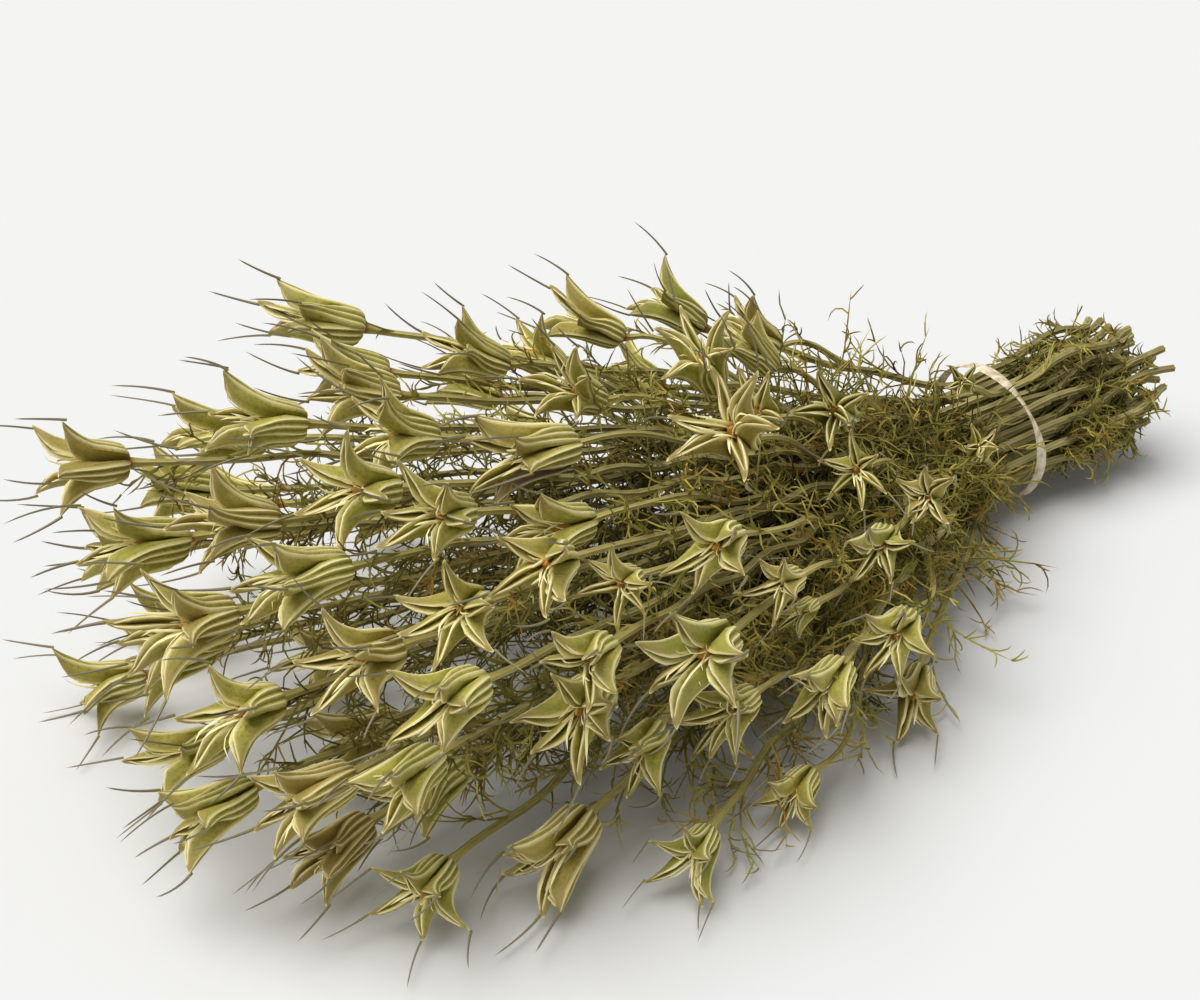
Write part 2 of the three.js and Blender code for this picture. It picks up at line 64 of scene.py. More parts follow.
# The stems of the bunch, in millimetres. Each row holds a stem's own pod, then its side pods, as
# (reach from the tie, across the bunch, height, turn outwards, size).
STEMS: tuple[tuple[PodRow, ...], ...] = (
    # the high ridge and the far side of the fan
    ((230, 105, 105, 0, 1.05),),
    ((350, 68, 105, 0, 1), (210, 42, 108, 0.3, 0.85)),
    ((260, 38, 114, 0.1, 1), (150, 50, 98, 0.3, 0.85)),
    ((270, 5, 112, 0.1, 1), (150, -5, 98, 0.6, 0.9)),
    ((330, 12, 112, 0.1, 1), (200, 0, 108, 0.3, 0.85)),
    ((310, 12, 116, 0.1, 1), (110, 12, 88, 0.4, 0.8)),
    ((350, 24, 98, 0, 1.05),),
    ((110, 50, 90, 0.4, 0.85), (90, 28, 84, 0.4, 0.8)),
    # the top and the near shoulder
    ((300, -28, 112, 0.1, 1), (230, -25, 110, 0.1, 1.1), (110, -25, 82, 0.3, 0.9)),
    ((330, -38, 108, 0, 1.05), (140, -28, 92, 0.25, 0.8)),
    ((290, -55, 108, 0.2, 0.95), (170, -42, 102, 0.4, 1.05)),
    ((300, -70, 104, 0.3, 0.95), (250, -55, 104, 0.2, 0.95)),
    ((330, -66, 90, 0.1, 1),),
    ((30, -16, 66, 0.2, 0.55),),
    ((280, -75, 100, 0.35, 1), (120, -50, 76, 0.3, 0.7)),
    ((320, -82, 82, 0.1, 1), (250, -84, 94, 0.3, 0.7)),
    ((280, -94, 92, 0.25, 0.9), (210, -90, 86, 0.25, 0.9)),
    ((230, -98, 80, 0.05, 1.1), (130, -72, 62, 0.3, 0.8)),
    ((270, -95, 60, 0.2, 1.1), (190, -92, 78, 0.15, 0.65)),
    ((250, -92, 54, 0.2, 0.85), (180, -92, 64, 0.15, 0.5)),
    ((210, -84, 41, 0.15, 0.8), (100, -62, 60, 0.3, 0.8)),
    # the near side, low down
    ((280, -95, 20, 0.1, 1.1), (220, -108, 48, 0.1, 0.8)),
    ((250, -122, 16, 0.1, 0.75), (200, -116, 14, 0.15, 0.75)),
    ((180, -96, 44, 0.05, 0.95), (140, -98, 44, 0.15, 0.85)),
    ((130, -96, 16, 0.1, 0.9), (50, -42, 54, 0.3, 0.6)),
    ((330, -78, 62, 0.2, 1),),
    ((350, -62, 56, 0, 1),),
    ((360, -42, 68, 0.1, 1),),
    ((360, -14, 84, 0, 1.05),),
    ((350, 2, 72, 0.1, 0.95),),
    ((370, -36, 38, 0.1, 0.95),),
    ((360, -2, 34, 0, 0.9),),
    ((340, -60, 26, 0.15, 0.95),),
    ((330, -84, 22, 0.2, 0.9),),
    ((310, -66, 38, 0.1, 0.95),),
    # the far side and underneath
    ((340, 58, 72, 0.1, 1), (180, 48, 94, 0.4, 0.85)),
    ((300, 95, 64, 0.2, 1), (180, 88, 66, 0.5, 0.85)),
    ((290, 78, 90, 0.1, 1), (120, 62, 62, 0.6, 0.8)),
    ((270, 108, 42, 0.3, 0.95), (150, 86, 38, 0.6, 0.85)),
    ((310, 92, 15, 0.2, 1), (210, 100, 22, 0.5, 0.9)),
    ((350, 72, 16, 0.1, 0.95),),
    ((340, 36, 44, 0, 1),),
    ((300, -14, 24, 0, 0.95),),
    ((280, 36, 20, 0, 0.95),),
    ((240, 74, 102, 0.1, 0.9), (100, 54, 34, 0.5, 0.8)),
)


def linear(code: str) -> tuple[float, float, float, float]:
    """Turns an sRGB hex colour to linear.

    Args:
        code: Six hex digits after a hash.

    Returns:
        Red, green, blue and full alpha.
    """
    parts = [int(code[i : i + 2], 16) / 255 for i in (1, 3, 5)]
    straight = [c / 12.92 if c <= 0.04045 else ((c + 0.055) / 1.055) ** 2.4 for c in parts]
    return (straight[0], straight[1], straight[2], 1.0)


class Draw(IntEnum):
    """The fixed draws of a shoot. The first four are also those of the solids."""

    OPEN = 1
    LOBES = 2
    SPIN = 3
    CUT = 4
    SHADE = 5
    WAVE_ACROSS = 6
    WAVE_UP = 7
    RATE_ACROSS = 8
    RATE_UP = 9


def chance(row: int, draw: Draw) -> float:
    """Gives a number from 0 to 1 that is always the same for the same shoot and draw.

    Args:
        row: The shoot's place in the list.
        draw: What the number is for.

    Returns:
        The number.
    """
    wave = math.sin(row * SCRAMBLE[0] + draw * SCRAMBLE[1]) * SCRAMBLE[2]
    return wave - math.floor(wave)


def mix(start: Array, end: Array, share: Array) -> Array:
    """Goes from start to end by a share of the way."""
    return start + (end - start) * share


def part_way(value: Array, start: float, end: float) -> Array:
    """Tells how far a value has come from start to end: 0 before the start, 1 past the end."""
    return np.clip((value - start) / (end - start), 0, 1)


def gently(share: Array) -> Array:
    """Lets a share from 0 to 1 set out and arrive gently."""
    return share * share * (3 - 2 * share)


def unit(vectors: Array) -> Array:
    """Brings vectors to length one along their last axis."""
    return vectors / np.maximum(np.linalg.norm(vectors, axis=-1, keepdims=True), TINY)


def run_along(path: Array) -> Array:
    """Gives the length of a path up to each of its points."""
    return np.concatenate([[0], np.cumsum(np.linalg.norm(np.diff(path, axis=0), axis=1))])


def read_at(places: Array, run: Array, values: Array) -> Array:
    """Reads values along a path.

    Args:
        places: Where to read, as lengths along the path.
        run: The length up to each of its points.
        values: The values at its points, one a row.

    Returns:
        One row a place.
    """
    return np.column_stack([np.interp(places, run, column) for column in values.T])


def smooth_line(knots: Array, places: Array) -> Array:
    """Follows a Catmull-Rom line through evenly spaced knots.

    Args:
        knots: The points, one a row.
        places: Where to read the line, from 0 at the first knot to 1 at the last.

    Returns:
        One point a place.
    """
    knots = np.asarray(knots, float)
    padded = np.vstack([2 * knots[0] - knots[1], knots, 2 * knots[-1] - knots[-2]])
    spot = np.clip(places, 0, 1) * (len(knots) - 1)
    step = np.minimum(spot.astype(int), len(knots) - 2)
    t = (spot - step)[:, None]
    a, b, c, d = (padded[step + i] for i in range(4))
    return 0.5 * (2 * b + (c - a) * t + (2 * a - 5 * b + 4 * c - d) * t**2 + (3 * b - a - 3 * c + d) * t**3)


def over_surface(points: Array, ease: float = 12.0) -> Array:
    """Bends what would pass under the surface along it.

    Args:
        points: Points in millimetres.
        ease: Height from which the bend starts.

    Returns:
        The points, all above zero.
    """
    raised = points.copy()
    z = raised[..., 2]
    raised[..., 2] = np.where(z >= ease, z, ease * np.exp(np.minimum(z - ease, 0) / ease))
    return raised


@dataclass
class Shoot:
    """One stem or side branch with the pod at its end.

    Its line holds [y, z] in millimetres at each station from start on.
    """

    node: int
    start: int
    line: Array
    pod: PodRow
    stem: "Shoot | None" = None
    aim: Array = field(default_factory=lambda: np.zeros(3))

    @property
    def size(self) -> float:
        """The pod's size, as a share of a full one."""
        return self.pod[4]


@dataclass
class BunchLayout:
    """Lays the stems through the tie into the fan and moves them clear of each other.

    The sizes are in millimetres. All are those of the solids, but for the slight bends of a dry stem.
    """

    # the cut ends
    cut_end: float = 90
    cut_ragged: float = 16
    cut_spread: float = 0.3
    cut_rise: float = 0.06
    # stations along the bunch, and the fan in front of the tie
    station: float = 10
    fan_start: float = 0.16
    fan_rise: float = 0.12
    middle: float = 45
    # the tie, and the slot that a stem takes in it
    tie_half_width: float = 31
    tie_half_height: float = 29
    tie_thick: float = 1.2
    slot_fill: float = 0.8
    slot_sideways: float = 2.6
    slot_upward: float = 4
    # stems and side branches
    stem_radius: float = 1.5
    clearance: float = 0.6
    branch_run: tuple[int, float] = (3, 0.042)  # least stations, and stations for a millimetre of reach
    branch_behind: int = 2  # a branch starts at most so many stations behind the tie
    aim_steps: int = 2
    # moving clear of each other
    stem_spacing: float = 5.4
    stem_low: float = 2.4
    pod_low: float = 0.9
    balls: tuple[Range, ...] = ((10, 10.5), (26, 17))  # height and radius of two balls that stand for a pod
    rounds: int = 240
    push: float = 0.3
    pod_give: float = 0.4
    smoothing: int = 3
    bend_power: float = 1.5
    # the slight bends of a dry stem
    wobble_size: float = 1.3
    wobble_length: float = 60
    wobble_rate: float = 0.5
    cut_wobble: float = 2.7  # the cut ends bend more
    fine_steps: int = 8
    shoots: list[Shoot] = field(default_factory=list)

    def station_x(self, k: Array) -> Array:
        """Gives a station's place along the bunch."""
        return self.cut_end - self.station * k

    def station_of(self, x: float) -> int:
        """Gives the station nearest to a place along the bunch."""
        return math.floor((self.cut_end - x) / self.station + 0.5)

    @property
    def tie_station(self) -> int:
        """The station at the tie."""
        return self.station_of(0)

    def lay_stem(self, pod: PodRow) -> Array:
        """Draws a stem's line from its cut end to its own pod.

        Args:
            pod: The pod at its end.

        Returns:
            [y, z] at each station.
        """
        reach, across, height = pod[:3]
        sideways = across / reach * self.slot_sideways
        upward = ((height - self.tie_half_height) / reach - self.fan_rise) * self.slot_upward
        shrink = self.slot_fill / math.sqrt(1 + sideways**2 + upward**2)
        slot = np.array([sideways * self.tie_half_width, upward * self.tie_half_height]) * shrink
        line = []
        for k in range(self.station_of(-reach) + 1):
            x = self.station_x(k)
            if x >= 0:
                spread = 1 + self.cut_spread * (x / self.cut_end) ** 2
                line.append((slot[0] * spread, self.tie_half_height + slot[1] * spread + self.cut_rise * x))
                continue
            share = math.hypot(-x / reach, self.fan_start) - self.fan_start
            share /= math.hypot(1, self.fan_start) - self.fan_start
            low = self.tie_half_height + slot[1]
            line.append((mix(slot[0], across, share), mix(low, height, share)))
        return np.array(line, float)

    def lay_branch(self, stem: Shoot, pod: PodRow) -> Shoot:
        """Draws a side branch that leaves its stem behind its pod and curves out to it.

        Args:
            stem: The stem that it grows on.
            pod: The pod at its end.

        Returns:
            The branch.
        """
        reach, across, height = pod[:3]
        end = self.station_of(-reach)
        run = max(self.branch_run[0], math.floor(reach * self.branch_run[1] + 0.5))
        start = max(self.tie_station - self.branch_behind, end - run)
        line = []
        for k in range(start, end + 1):
            t = (k - start) / (end - start)
            own = stem.line[min(k, len(stem.line) - 1)]
            line.append(mix(own, np.array([across, height], float), gently(t)))
        return Shoot(stem.node, start, np.array(line), pod, stem)

    def pod_aim(self, shoot: Shoot) -> Array:
        """Gives the way that a pod looks: along its stem, turned towards the outside of the bunch.

        Args:
            shoot: The shoot that carries the pod.

        Returns:
            The way, of length one.
        """
        turn = shoot.pod[3]
        last, before = shoot.line[-1], shoot.line[-1 - self.aim_steps]
        along = unit(np.array([-self.aim_steps * self.station, *(last - before)]))
        outwards = unit(np.array([0, last[0], last[1] - self.middle]))
        return unit(mix(along, outwards, turn))

    def lay(self) -> "BunchLayout":
        """Draws all the shoots and moves them clear.

        Returns:
            The layout itself.
        """
        for node, pods in enumerate(STEMS):
            stem = Shoot(node, 0, self.lay_stem(pods[0]), pods[0])
            self.shoots.append(stem)
            self.shoots.extend(self.lay_branch(stem, pod) for pod in pods[1:])
        for shoot in self.shoots:
            shoot.aim = self.pod_aim(shoot)
        self.settle()
        return self

    def base(self, shoot: Shoot) -> Array:
        """Gives the point where a shoot ends and its pod starts."""
        x = self.station_x(shoot.start + len(shoot.line) - 1)
        return np.array([x, *shoot.line[-1]])

    def settle(self) -> None:
        """Moves the stems and pods of different plants clear of each other, the surface and the tie."""
        shoots = self.shoots
        node = np.array([s.node for s in shoots])
        owner = np.concatenate([np.full(len(s.line), i) for i, s in enumerate(shoots)])
        place = np.concatenate([s.start + np.arange(len(s.line)) for s in shoots])
        ends = np.cumsum([len(s.line) for s in shoots])
        rows = [np.flatnonzero(place == k) for k in range(place.max() + 1)]
        table = np.full((len(rows), max(map(len, rows))), -1)
        for k, members in enumerate(rows):
            table[k, : len(members)] = members
        there = table >= 0
        other_plant = node[owner][table][:, :, None] != node[owner][table][:, None]
        may_meet = there[:, :, None] & there[:, None] & other_plant
        x = self.station_x(place)
        size = np.array([s.size for s in shoots])
        aim = np.array([s.aim for s in shoots])
        height, radius = (np.array(self.balls).T[i][None] * size[:, None] for i in (0, 1))
        ball_node = np.repeat(node, len(self.balls))
        ball_radius = radius.ravel()
        ball_reach = ball_radius[:, None] + ball_radius[None]
        stem_reach = (ball_radius + self.stem_radius + self.clearance)[:, None]
        pods_meet = ball_node[:, None] != ball_node[None]
        pod_stem_meet = ball_node[:, None] != node[owner][None]
        for _ in range(self.rounds):
            points = np.concatenate([s.line for s in shoots])
            pushes = np.zeros_like(points)
            near = points[table]
            apart = near[:, :, None] - near[:, None]
            by = self.push_apart(apart, np.zeros(apart.shape[:-1]), self.stem_spacing, may_meet)
            pushes[table[there]] += by.sum(2)[there] * self.push
            base = np.column_stack([x[ends - 1], points[ends - 1]])
            balls = (base[:, None] + aim[:, None] * height[..., None]).reshape(-1, 3)
            gap = balls[:, None] - balls[None]
            by = self.push_apart(gap[..., 1:], gap[..., 0], ball_reach, pods_meet)
            ball_push = by.sum(1) * self.push
            by = self.push_apart(
                points[None] - balls[:, None, 1:], x[None] - balls[:, None, 0], stem_reach, pod_stem_meet
            )
            pushes += by.sum(0) * self.push
            ball_push -= by.sum(1) * self.push * self.pod_give
            pod_push = ball_push.reshape(len(shoots), -1, 2).sum(1)
            low = radius[:, 1] * self.pod_low - balls.reshape(len(shoots), -1, 3)[:, 1, 2]
            pod_push[:, 1] += np.maximum(low, 0) * self.push
            for i, shoot in enumerate(shoots):
                self.apply_pushes(shoot, pushes[ends[i] - len(shoot.line) : ends[i]], pod_push[i])

    @staticmethod
    def push_apart(apart: Array, along: Array, reach: Array, may_meet: Array) -> Array:
        """Says how far across the bunch round things must move to be clear.

        Args:
            apart: From the other thing to this one, across the bunch.
            along: The same, along the bunch.
            reach: The least distance between their middles.
            may_meet: False for a pair that belongs together.

        Returns:
            The move of the first of each pair.
        """
        need = np.sqrt(np.maximum(reach**2 - along**2, 0))
        distance = np.hypot(apart[..., 0], apart[..., 1])
        short = np.where(may_meet & (distance < need), need - distance, 0)
        return apart * (short / np.maximum(distance, TINY))[..., None]

    def apply_pushes(self, shoot: Shoot, pushes: Array, pod_push: Array) -> None:
        """Spreads the pushes smoothly along a shoot, so that it bends and does not kink.

        Args:
            shoot: The shoot.
            pushes: A push at each station of its line.
            pod_push: The push on its pod.
        """
        last = len(shoot.line) - 1
        fixed = 0 if shoot.stem else self.tie_station
        for _ in range(self.smoothing):
            before = np.vstack([pushes[:1], pushes[:-1]])
            after = np.vstack([pushes[1:], pushes[-1:]])
            pushes = pushes / 2 + (before + after) / 4
        share = np.maximum(0, (np.arange(last + 1) - fixed) / (last - fixed)) ** self.bend_power
        shoot.line = shoot.line + pushes + share[:, None] * pod_push
        shoot.line[:, 1] = np.maximum(self.stem_low, shoot.line[:, 1])
        for k in range(last + 1):
            if abs(k + shoot.start - self.tie_station) <= 1:
                self.keep_in_tie(shoot.line[k])
        if shoot.stem:
            shoot.line[0] = shoot.stem.line[shoot.start]

    def keep_in_tie(self, point: Array) -> None:
        """Moves a stem's point inside the tie.

        Args:
            point: Its [y, z], changed in place.
        """
        room = self.tie_thick + self.stem_radius + self.clearance
        up = point[1] - self.tie_half_height
        over = math.hypot(point[0] / (self.tie_half_width - room), up / (self.tie_half_height - room))
        if over > 1:
            point[0] /= over
            point[1] = self.tie_half_height + up / over

    def wobble(self, x: Array, row: int) -> Array:
        """Bends a dry stem to and fro, except in the tie and at its pod.

        Args:
            x: Places along the bunch.
            row: The shoot's place in the list.

        Returns:
            [y, z] offsets.
        """
        ends = part_way(x, x.min(), x.min() + self.wobble_length)
        ends *= part_way(np.abs(x), 0, self.wobble_length) * np.where(x > 0, self.cut_wobble, 1)
        waves = []
        for wave, rate in ((Draw.WAVE_ACROSS, Draw.RATE_ACROSS), (Draw.WAVE_UP, Draw.RATE_UP)):
            turns = (x / self.wobble_length + chance(row, wave)) * (self.wobble_rate + chance(row, rate))
            waves.append(np.sin(2 * math.pi * turns))
        return np.column_stack(waves) * (ends * self.wobble_size)[:, None]

    def path(self, shoot: Shoot, row: int, steps: int) -> Array:
        """Draws a shoot's line in space.

        Args:
            shoot: The shoot.
            row: Its place in the list.
            steps: The number of even steps along it.

        Returns:
            Points from the cut end or the fork to the pod's base, in millimetres.
        """
        k = shoot.start + np.arange(len(shoot.line))
        points = np.column_stack([self.station_x(k), shoot.line])
        if shoot.stem is None:
            points = points[points[:, 0] <= self.cut_end - self.cut_ragged * chance(row, Draw.CUT)]
        points = np.vstack([points, points[-1] + shoot.aim])
        fine = smooth_line(points, np.linspace(0, 1, len(points) * self.fine_steps))
        fine[:, 1:] += self.wobble(fine[:, 0], row)
        run = run_along(fine)
        return read_at(np.linspace(0, run[-1], steps + 1), run, fine)


class Skin(IntEnum):
    """The finishes of a plant, in the order of its material slots."""

    POD = 0
    STEM = 1
    THREAD = 2


class Mark(Enum):
    """The values that the points of a piece carry for its finish."""

    # how far a point stands on a rib; on the threads it carries their painted shade deep inside the bunch
    RIB = "rib"
    ALONG = "along"
    SHADE = "shade"


@dataclass(frozen=True)
class Stock:
    """A straight piece, modelled once, that is bent into each of its copies.

    Its corner numbers run round the section from zero, and along runs from 0 at its root to 1 at its end.
    """

    corner: Array
    along: Array
    faces: tuple[tuple[int, ...], ...]
    sides: int

    @staticmethod
    def model(sides: int, steps: int, pointed: bool) -> "Stock":
        """Models a straight piece: a filled ring, extruded step by step, drawn to a point if asked.

        Args:
            sides: Corners of the section.
            steps: Number of extrusions.
            pointed: Whether its last ring is merged to one point.

        Returns:
            The piece's points and faces.
        """
        bpy.ops.object.select_all(action="DESELECT")
        bpy.ops.mesh.primitive_circle_add(vertices=sides, radius=1, fill_type="NGON")
        piece = bpy.context.object
        bpy.ops.object.mode_set(mode="EDIT")
        bpy.ops.mesh.select_all(action="SELECT")
        for _ in range(steps):
            bpy.ops.mesh.extrude_region_move(TRANSFORM_OT_translate={"value": (0, 0, 1 / steps)})
        if pointed:
            bpy.ops.mesh.merge(type="CENTER")
        bpy.ops.mesh.select_all(action="SELECT")
        bpy.ops.mesh.normals_make_consistent(inside=False)
        bpy.ops.object.mode_set(mode="OBJECT")
        mesh = piece.data
        points = np.array([v.co for v in mesh.vertices])
        angle = np.arctan2(points[:, 0], points[:, 1]) / (2 * math.pi) * sides
        faces = tuple(tuple(p.vertices) for p in mesh.polygons)
        bpy.data.objects.remove(piece)
        bpy.data.meshes.remove(mesh)
        return Stock(np.round(angle).astype(int) % sides, np.clip(points[:, 2], 0, 1), faces, sides)

    def ring(self) -> Array:
        """Gives each point's angle round the section."""
        return self.corner * (2 * math.pi / self.sides)


@dataclass
class Sheaf:
    """Collects bent copies of the straight pieces, in millimetres, and makes one mesh of them."""

    points: list[Array] = field(default_factory=list)
    faces: list[tuple[Array, int]] = field(default_factory=list)
    values: dict[Mark, list[Array]] = field(default_factory=lambda: {mark: [] for mark in Mark})
    count: int = 0

    def add(
        self, copies: Array, stock: Stock, slot: int, rib: Array, along: Array, shade: Array,
        lifted: bool = True,
    ) -> None:
        """Adds copies of a piece.

        Args:
            copies: Their points: copies by points by three.
            stock: The piece that was bent.
            slot: The finish's place in the list of materials.
            rib: How far a point stands on a pale rib, for each copy and point; on the threads, how much
                painted shade it takes.
            along: How far along its piece a point lies.
            shade: The copy's own shade.
            lifted: Whether points under the surface are bent along it.
        """
        number, size = copies.shape[:2]
        sign = self.signed_volume(copies[0], stock)
        offsets = self.count + size * np.arange(number)
        for length in sorted({len(f) for f in stock.faces}):
            one = np.array([f for f in stock.faces if len(f) == length])
            one = one if sign > 0 else one[:, ::-1]
            self.faces.append(((offsets[:, None, None] + one).reshape(-1, length), int(slot)))
        raised = over_surface(copies) if lifted else copies
        self.points.append(raised.reshape(-1, 3))
        for mark, value in zip(Mark, (rib, along, shade)):
            self.values[mark].append(np.broadcast_to(value, (number, size)).ravel())
        self.count += number * size

    @staticmethod
    def signed_volume(points: Array, stock: Stock) -> float:
        """Tells which way a copy's faces look.

        Args:
            points: The copy's points.
            stock: The piece that was bent.

        Returns:
            A number above zero where they look outwards.
        """
        total = 0.0
        for face in stock.faces:
            first = points[face[0]]
            for b, c in zip(face[1:-1], face[2:]):
                total += float(np.dot(first, np.cross(points[b], points[c])))
        return total

    def make(self, name: str, materials: list[bpy.types.Material]) -> bpy.types.Object:
        """Makes the object.

        Args:
            name: The piece's name.
            materials: Its finishes, in slot order.

        Returns:
            The object, at the origin, with its place in its mesh.
        """
        mesh = bpy.data.meshes.new(name)
        points = np.concatenate(self.points) * MM
        mesh.vertices.add(len(points))
        mesh.vertices.foreach_set("co", points.ravel())
        corners = np.concatenate([f.ravel() for f, _ in self.faces])
        lengths = np.concatenate([np.full(len(f), f.shape[1]) for f, _ in self.faces])
        slots = np.concatenate([np.full(len(f), s) for f, s in self.faces])
        mesh.loops.add(len(corners))
        mesh.loops.foreach_set("vertex_index", corners)
        mesh.polygons.add(len(lengths))
        mesh.polygons.foreach_set("loop_start", np.concatenate([[0], np.cumsum(lengths)[:-1]]))
        mesh.polygons.foreach_set("material_index", slots)
        mesh.polygons.foreach_set("use_smooth", np.ones(len(lengths), bool))
        for mark, values in self.values.items():
            layer = mesh.attributes.new(mark.value, "FLOAT", "POINT")
            layer.data.foreach_set("value", np.concatenate(values))
        mesh.update(calc_edges=True)
        mesh.validate()
        for material in materials:
            mesh.materials.append(material)
        piece = bpy.data.objects.new(name, mesh)
        bpy.context.scene.collection.objects.link(piece)
        bpy.ops.object.select_all(action="DESELECT")
        piece.select_set(True)
        bpy.context.view_layer.objects.active = piece
        bpy.ops.object.shade_smooth_by_angle(angle=math.radians(SHARP_FROM))
        return piece


@dataclass(frozen=True)
class Follicle:
    """One follicle of a pod.

    It has its angle round the axis, how far it has opened, its length as a share of the usual one, how much
    it leans sideways, half the angle that it has for itself, and whether its pod is an unopened bud.
    """

    angle: float
    opened: float
    longer: float
    lean: float
    sector: float
    bud: bool


@dataclass
class PodMaker:
    """Makes a pod: a ring of keeled follicles, joined below and flared above, each with a long beak.

    An outline is [height, distance from the axis] from the pod's base to a follicle's end, in millimetres,
    for a closed pod and for an open one. A section is [sideways, from its front to its back], as shares.
    """

    # the outlines and sections of a follicle
    back_closed: tuple[Range, ...] = (
        (0, 1.6), (1, 4.7), (3.5, 6.5), (9, 7.4), (15, 8), (20, 8.8), (25, 10), (29, 10.8), (33, 11.5),
    )
    back_open: tuple[Range, ...] = (
        (0, 1.6), (1, 4.7), (3.5, 6.5), (9, 7.8), (14.5, 8.8), (19, 10.8), (23, 13.5), (26, 16),
        (28.5, 18.5),
    )
    front_closed: tuple[Range, ...] = (
        (0.4, 0.2), (1.2, 0.4), (3.5, 0.5), (9, 0.5), (15, 0.6), (20, 1.4), (25, 2.6), (28.8, 4.4),
        (31.4, 8.6),
    )
    front_open: tuple[Range, ...] = (
        (0.4, 0.2), (1.2, 0.4), (3.5, 0.5), (9, 0.5), (14, 1), (18.8, 2.6), (22.8, 5), (25.4, 8),
        (27.2, 14.4),
    )
    half_width: tuple[float, ...] = (1.2, 3, 3.9, 4, 3.4, 2.6, 2.1, 1.9, 0.7)
    section: tuple[Range, ...] = (
        (0, 1), (0.3, 0.87), (0.6, 0.97), (0.95, 0.8), (0.9, 0.42), (0.42, 0.06), (0.2, 0),
        (0, 0.18), (-0.2, 0), (-0.42, 0.06), (-0.9, 0.42), (-0.95, 0.8), (-0.6, 0.97), (-0.3, 0.87),
    )
    hood: tuple[Range, ...] = (
        (0, 1), (0.34, 0.93), (0.66, 0.85), (0.95, 0.62), (1, 0.3), (0.84, 0.03), (0.62, 0),
        (0, 0.62), (-0.62, 0), (-0.84, 0.03), (-1, 0.3), (-0.95, 0.62), (-0.66, 0.85), (-0.34, 0.93),
    )
    hood_from: Range = (0.42, 0.84)  # where the section starts to turn to the hood, and where it has
    rib_height: tuple[float, ...] = (1, 0, 0.95, 0.3, 0.1, 0.8, 1, -1, 1, 0.8, 0.1, 0.3, 0.95, 0)
    rib_fade: float = 0.18
    groove_end: Range = (0.7, 0.7 - 1 / 6)  # where the groove's own colour is gone, and where it is full
    rings: int = 12
    # how the follicles of a pod stand
    lobes: tuple[int, ...] = (5, 6, 5)
    fullness: float = 1.06
    angle_jitter: float = 0.18
    most_open: float = 1.15
    open_jitter: float = 0.4
    open_limits: Range = (-0.1, 1.35)
    length_range: Range = (0.8, 1.1)
    lean_most: float = 0.26
    lean_from: float = 13  # the height from which follicles lean
    axis_gap: float = 0.25
    sector_fill: float = 0.95
    girth_jitter: float = 0.04
    ripple: float = 1.0
    ripples: float = 7
    ripple_turn: float = 2
    # small pods that have not opened
    bud_size: float = 0.62
    bud_lobes: int = 5
    bud_open: float = 0.1
    bud_beak: float = 0.3
    # the beaks
    beak_length: float = 20
    beak_range: Range = (0.75, 1.15)
    beak_radius: float = 0.5
    beak_taper: float = 0.55
    beak_sides: int = 4
    beak_steps: int = 6
    beak_from: float = 0.93
    beak_sunk: float = 1.2
    beak_upright: Range = (0.1, 0.9)
    beak_curl: Range = (-0.15, 0.3)
    beak_sway: float = 0.28
    sway_power: float = 1.5
    beak_mark: float = 1.1  # how far along its pod a beak starts, for the finish
    # the loose pale strips
    lip_from: float = 0.36
    lip_to: Range = (0.78, 1.0)
    lip_half: Range = (0.62, 0.24)
    lip_taper: float = 0.5
    lip_place: float = 0.6
    lip_swing: Range = (-0.88, 2.2)
    lip_loose: float = 4.5
    loose_power: float = 1.6
    lip_marks: Range = (0.2, 0.9)  # how far along its pod a strip starts and ends, for the finish
    # the cone on the axis
    heart_height: Range = (12, 18.5)
    heart_radius: float = 2.7
    heart_sides: int = 6
    heart_steps: int = 3
    heart_mark: float = 0.3
    # shades
    shade_jitter: float = 0.12
    bleach: float = 0.3
    bleach_between: Range = (240, 340)  # pods further out in the fan are more faded
    purple_pod: int = 15  # the row of the shoot whose pod has a purple follicle
    purple_side: tuple[float, float, float] = (0.0, -0.5, -0.8)  # the way that this follicle faces
    purple_shade: float = 2
    follicle: Stock = field(init=False)
    beak: Stock = field(init=False)
    heart: Stock = field(init=False)

    def __post_init__(self) -> None:
        """Models the follicle, the beak and the heart."""
        self.follicle = Stock.model(len(self.section), self.rings, False)
        self.beak = Stock.model(self.beak_sides, self.beak_steps, True)
        self.heart = Stock.model(self.heart_sides, self.heart_steps, True)

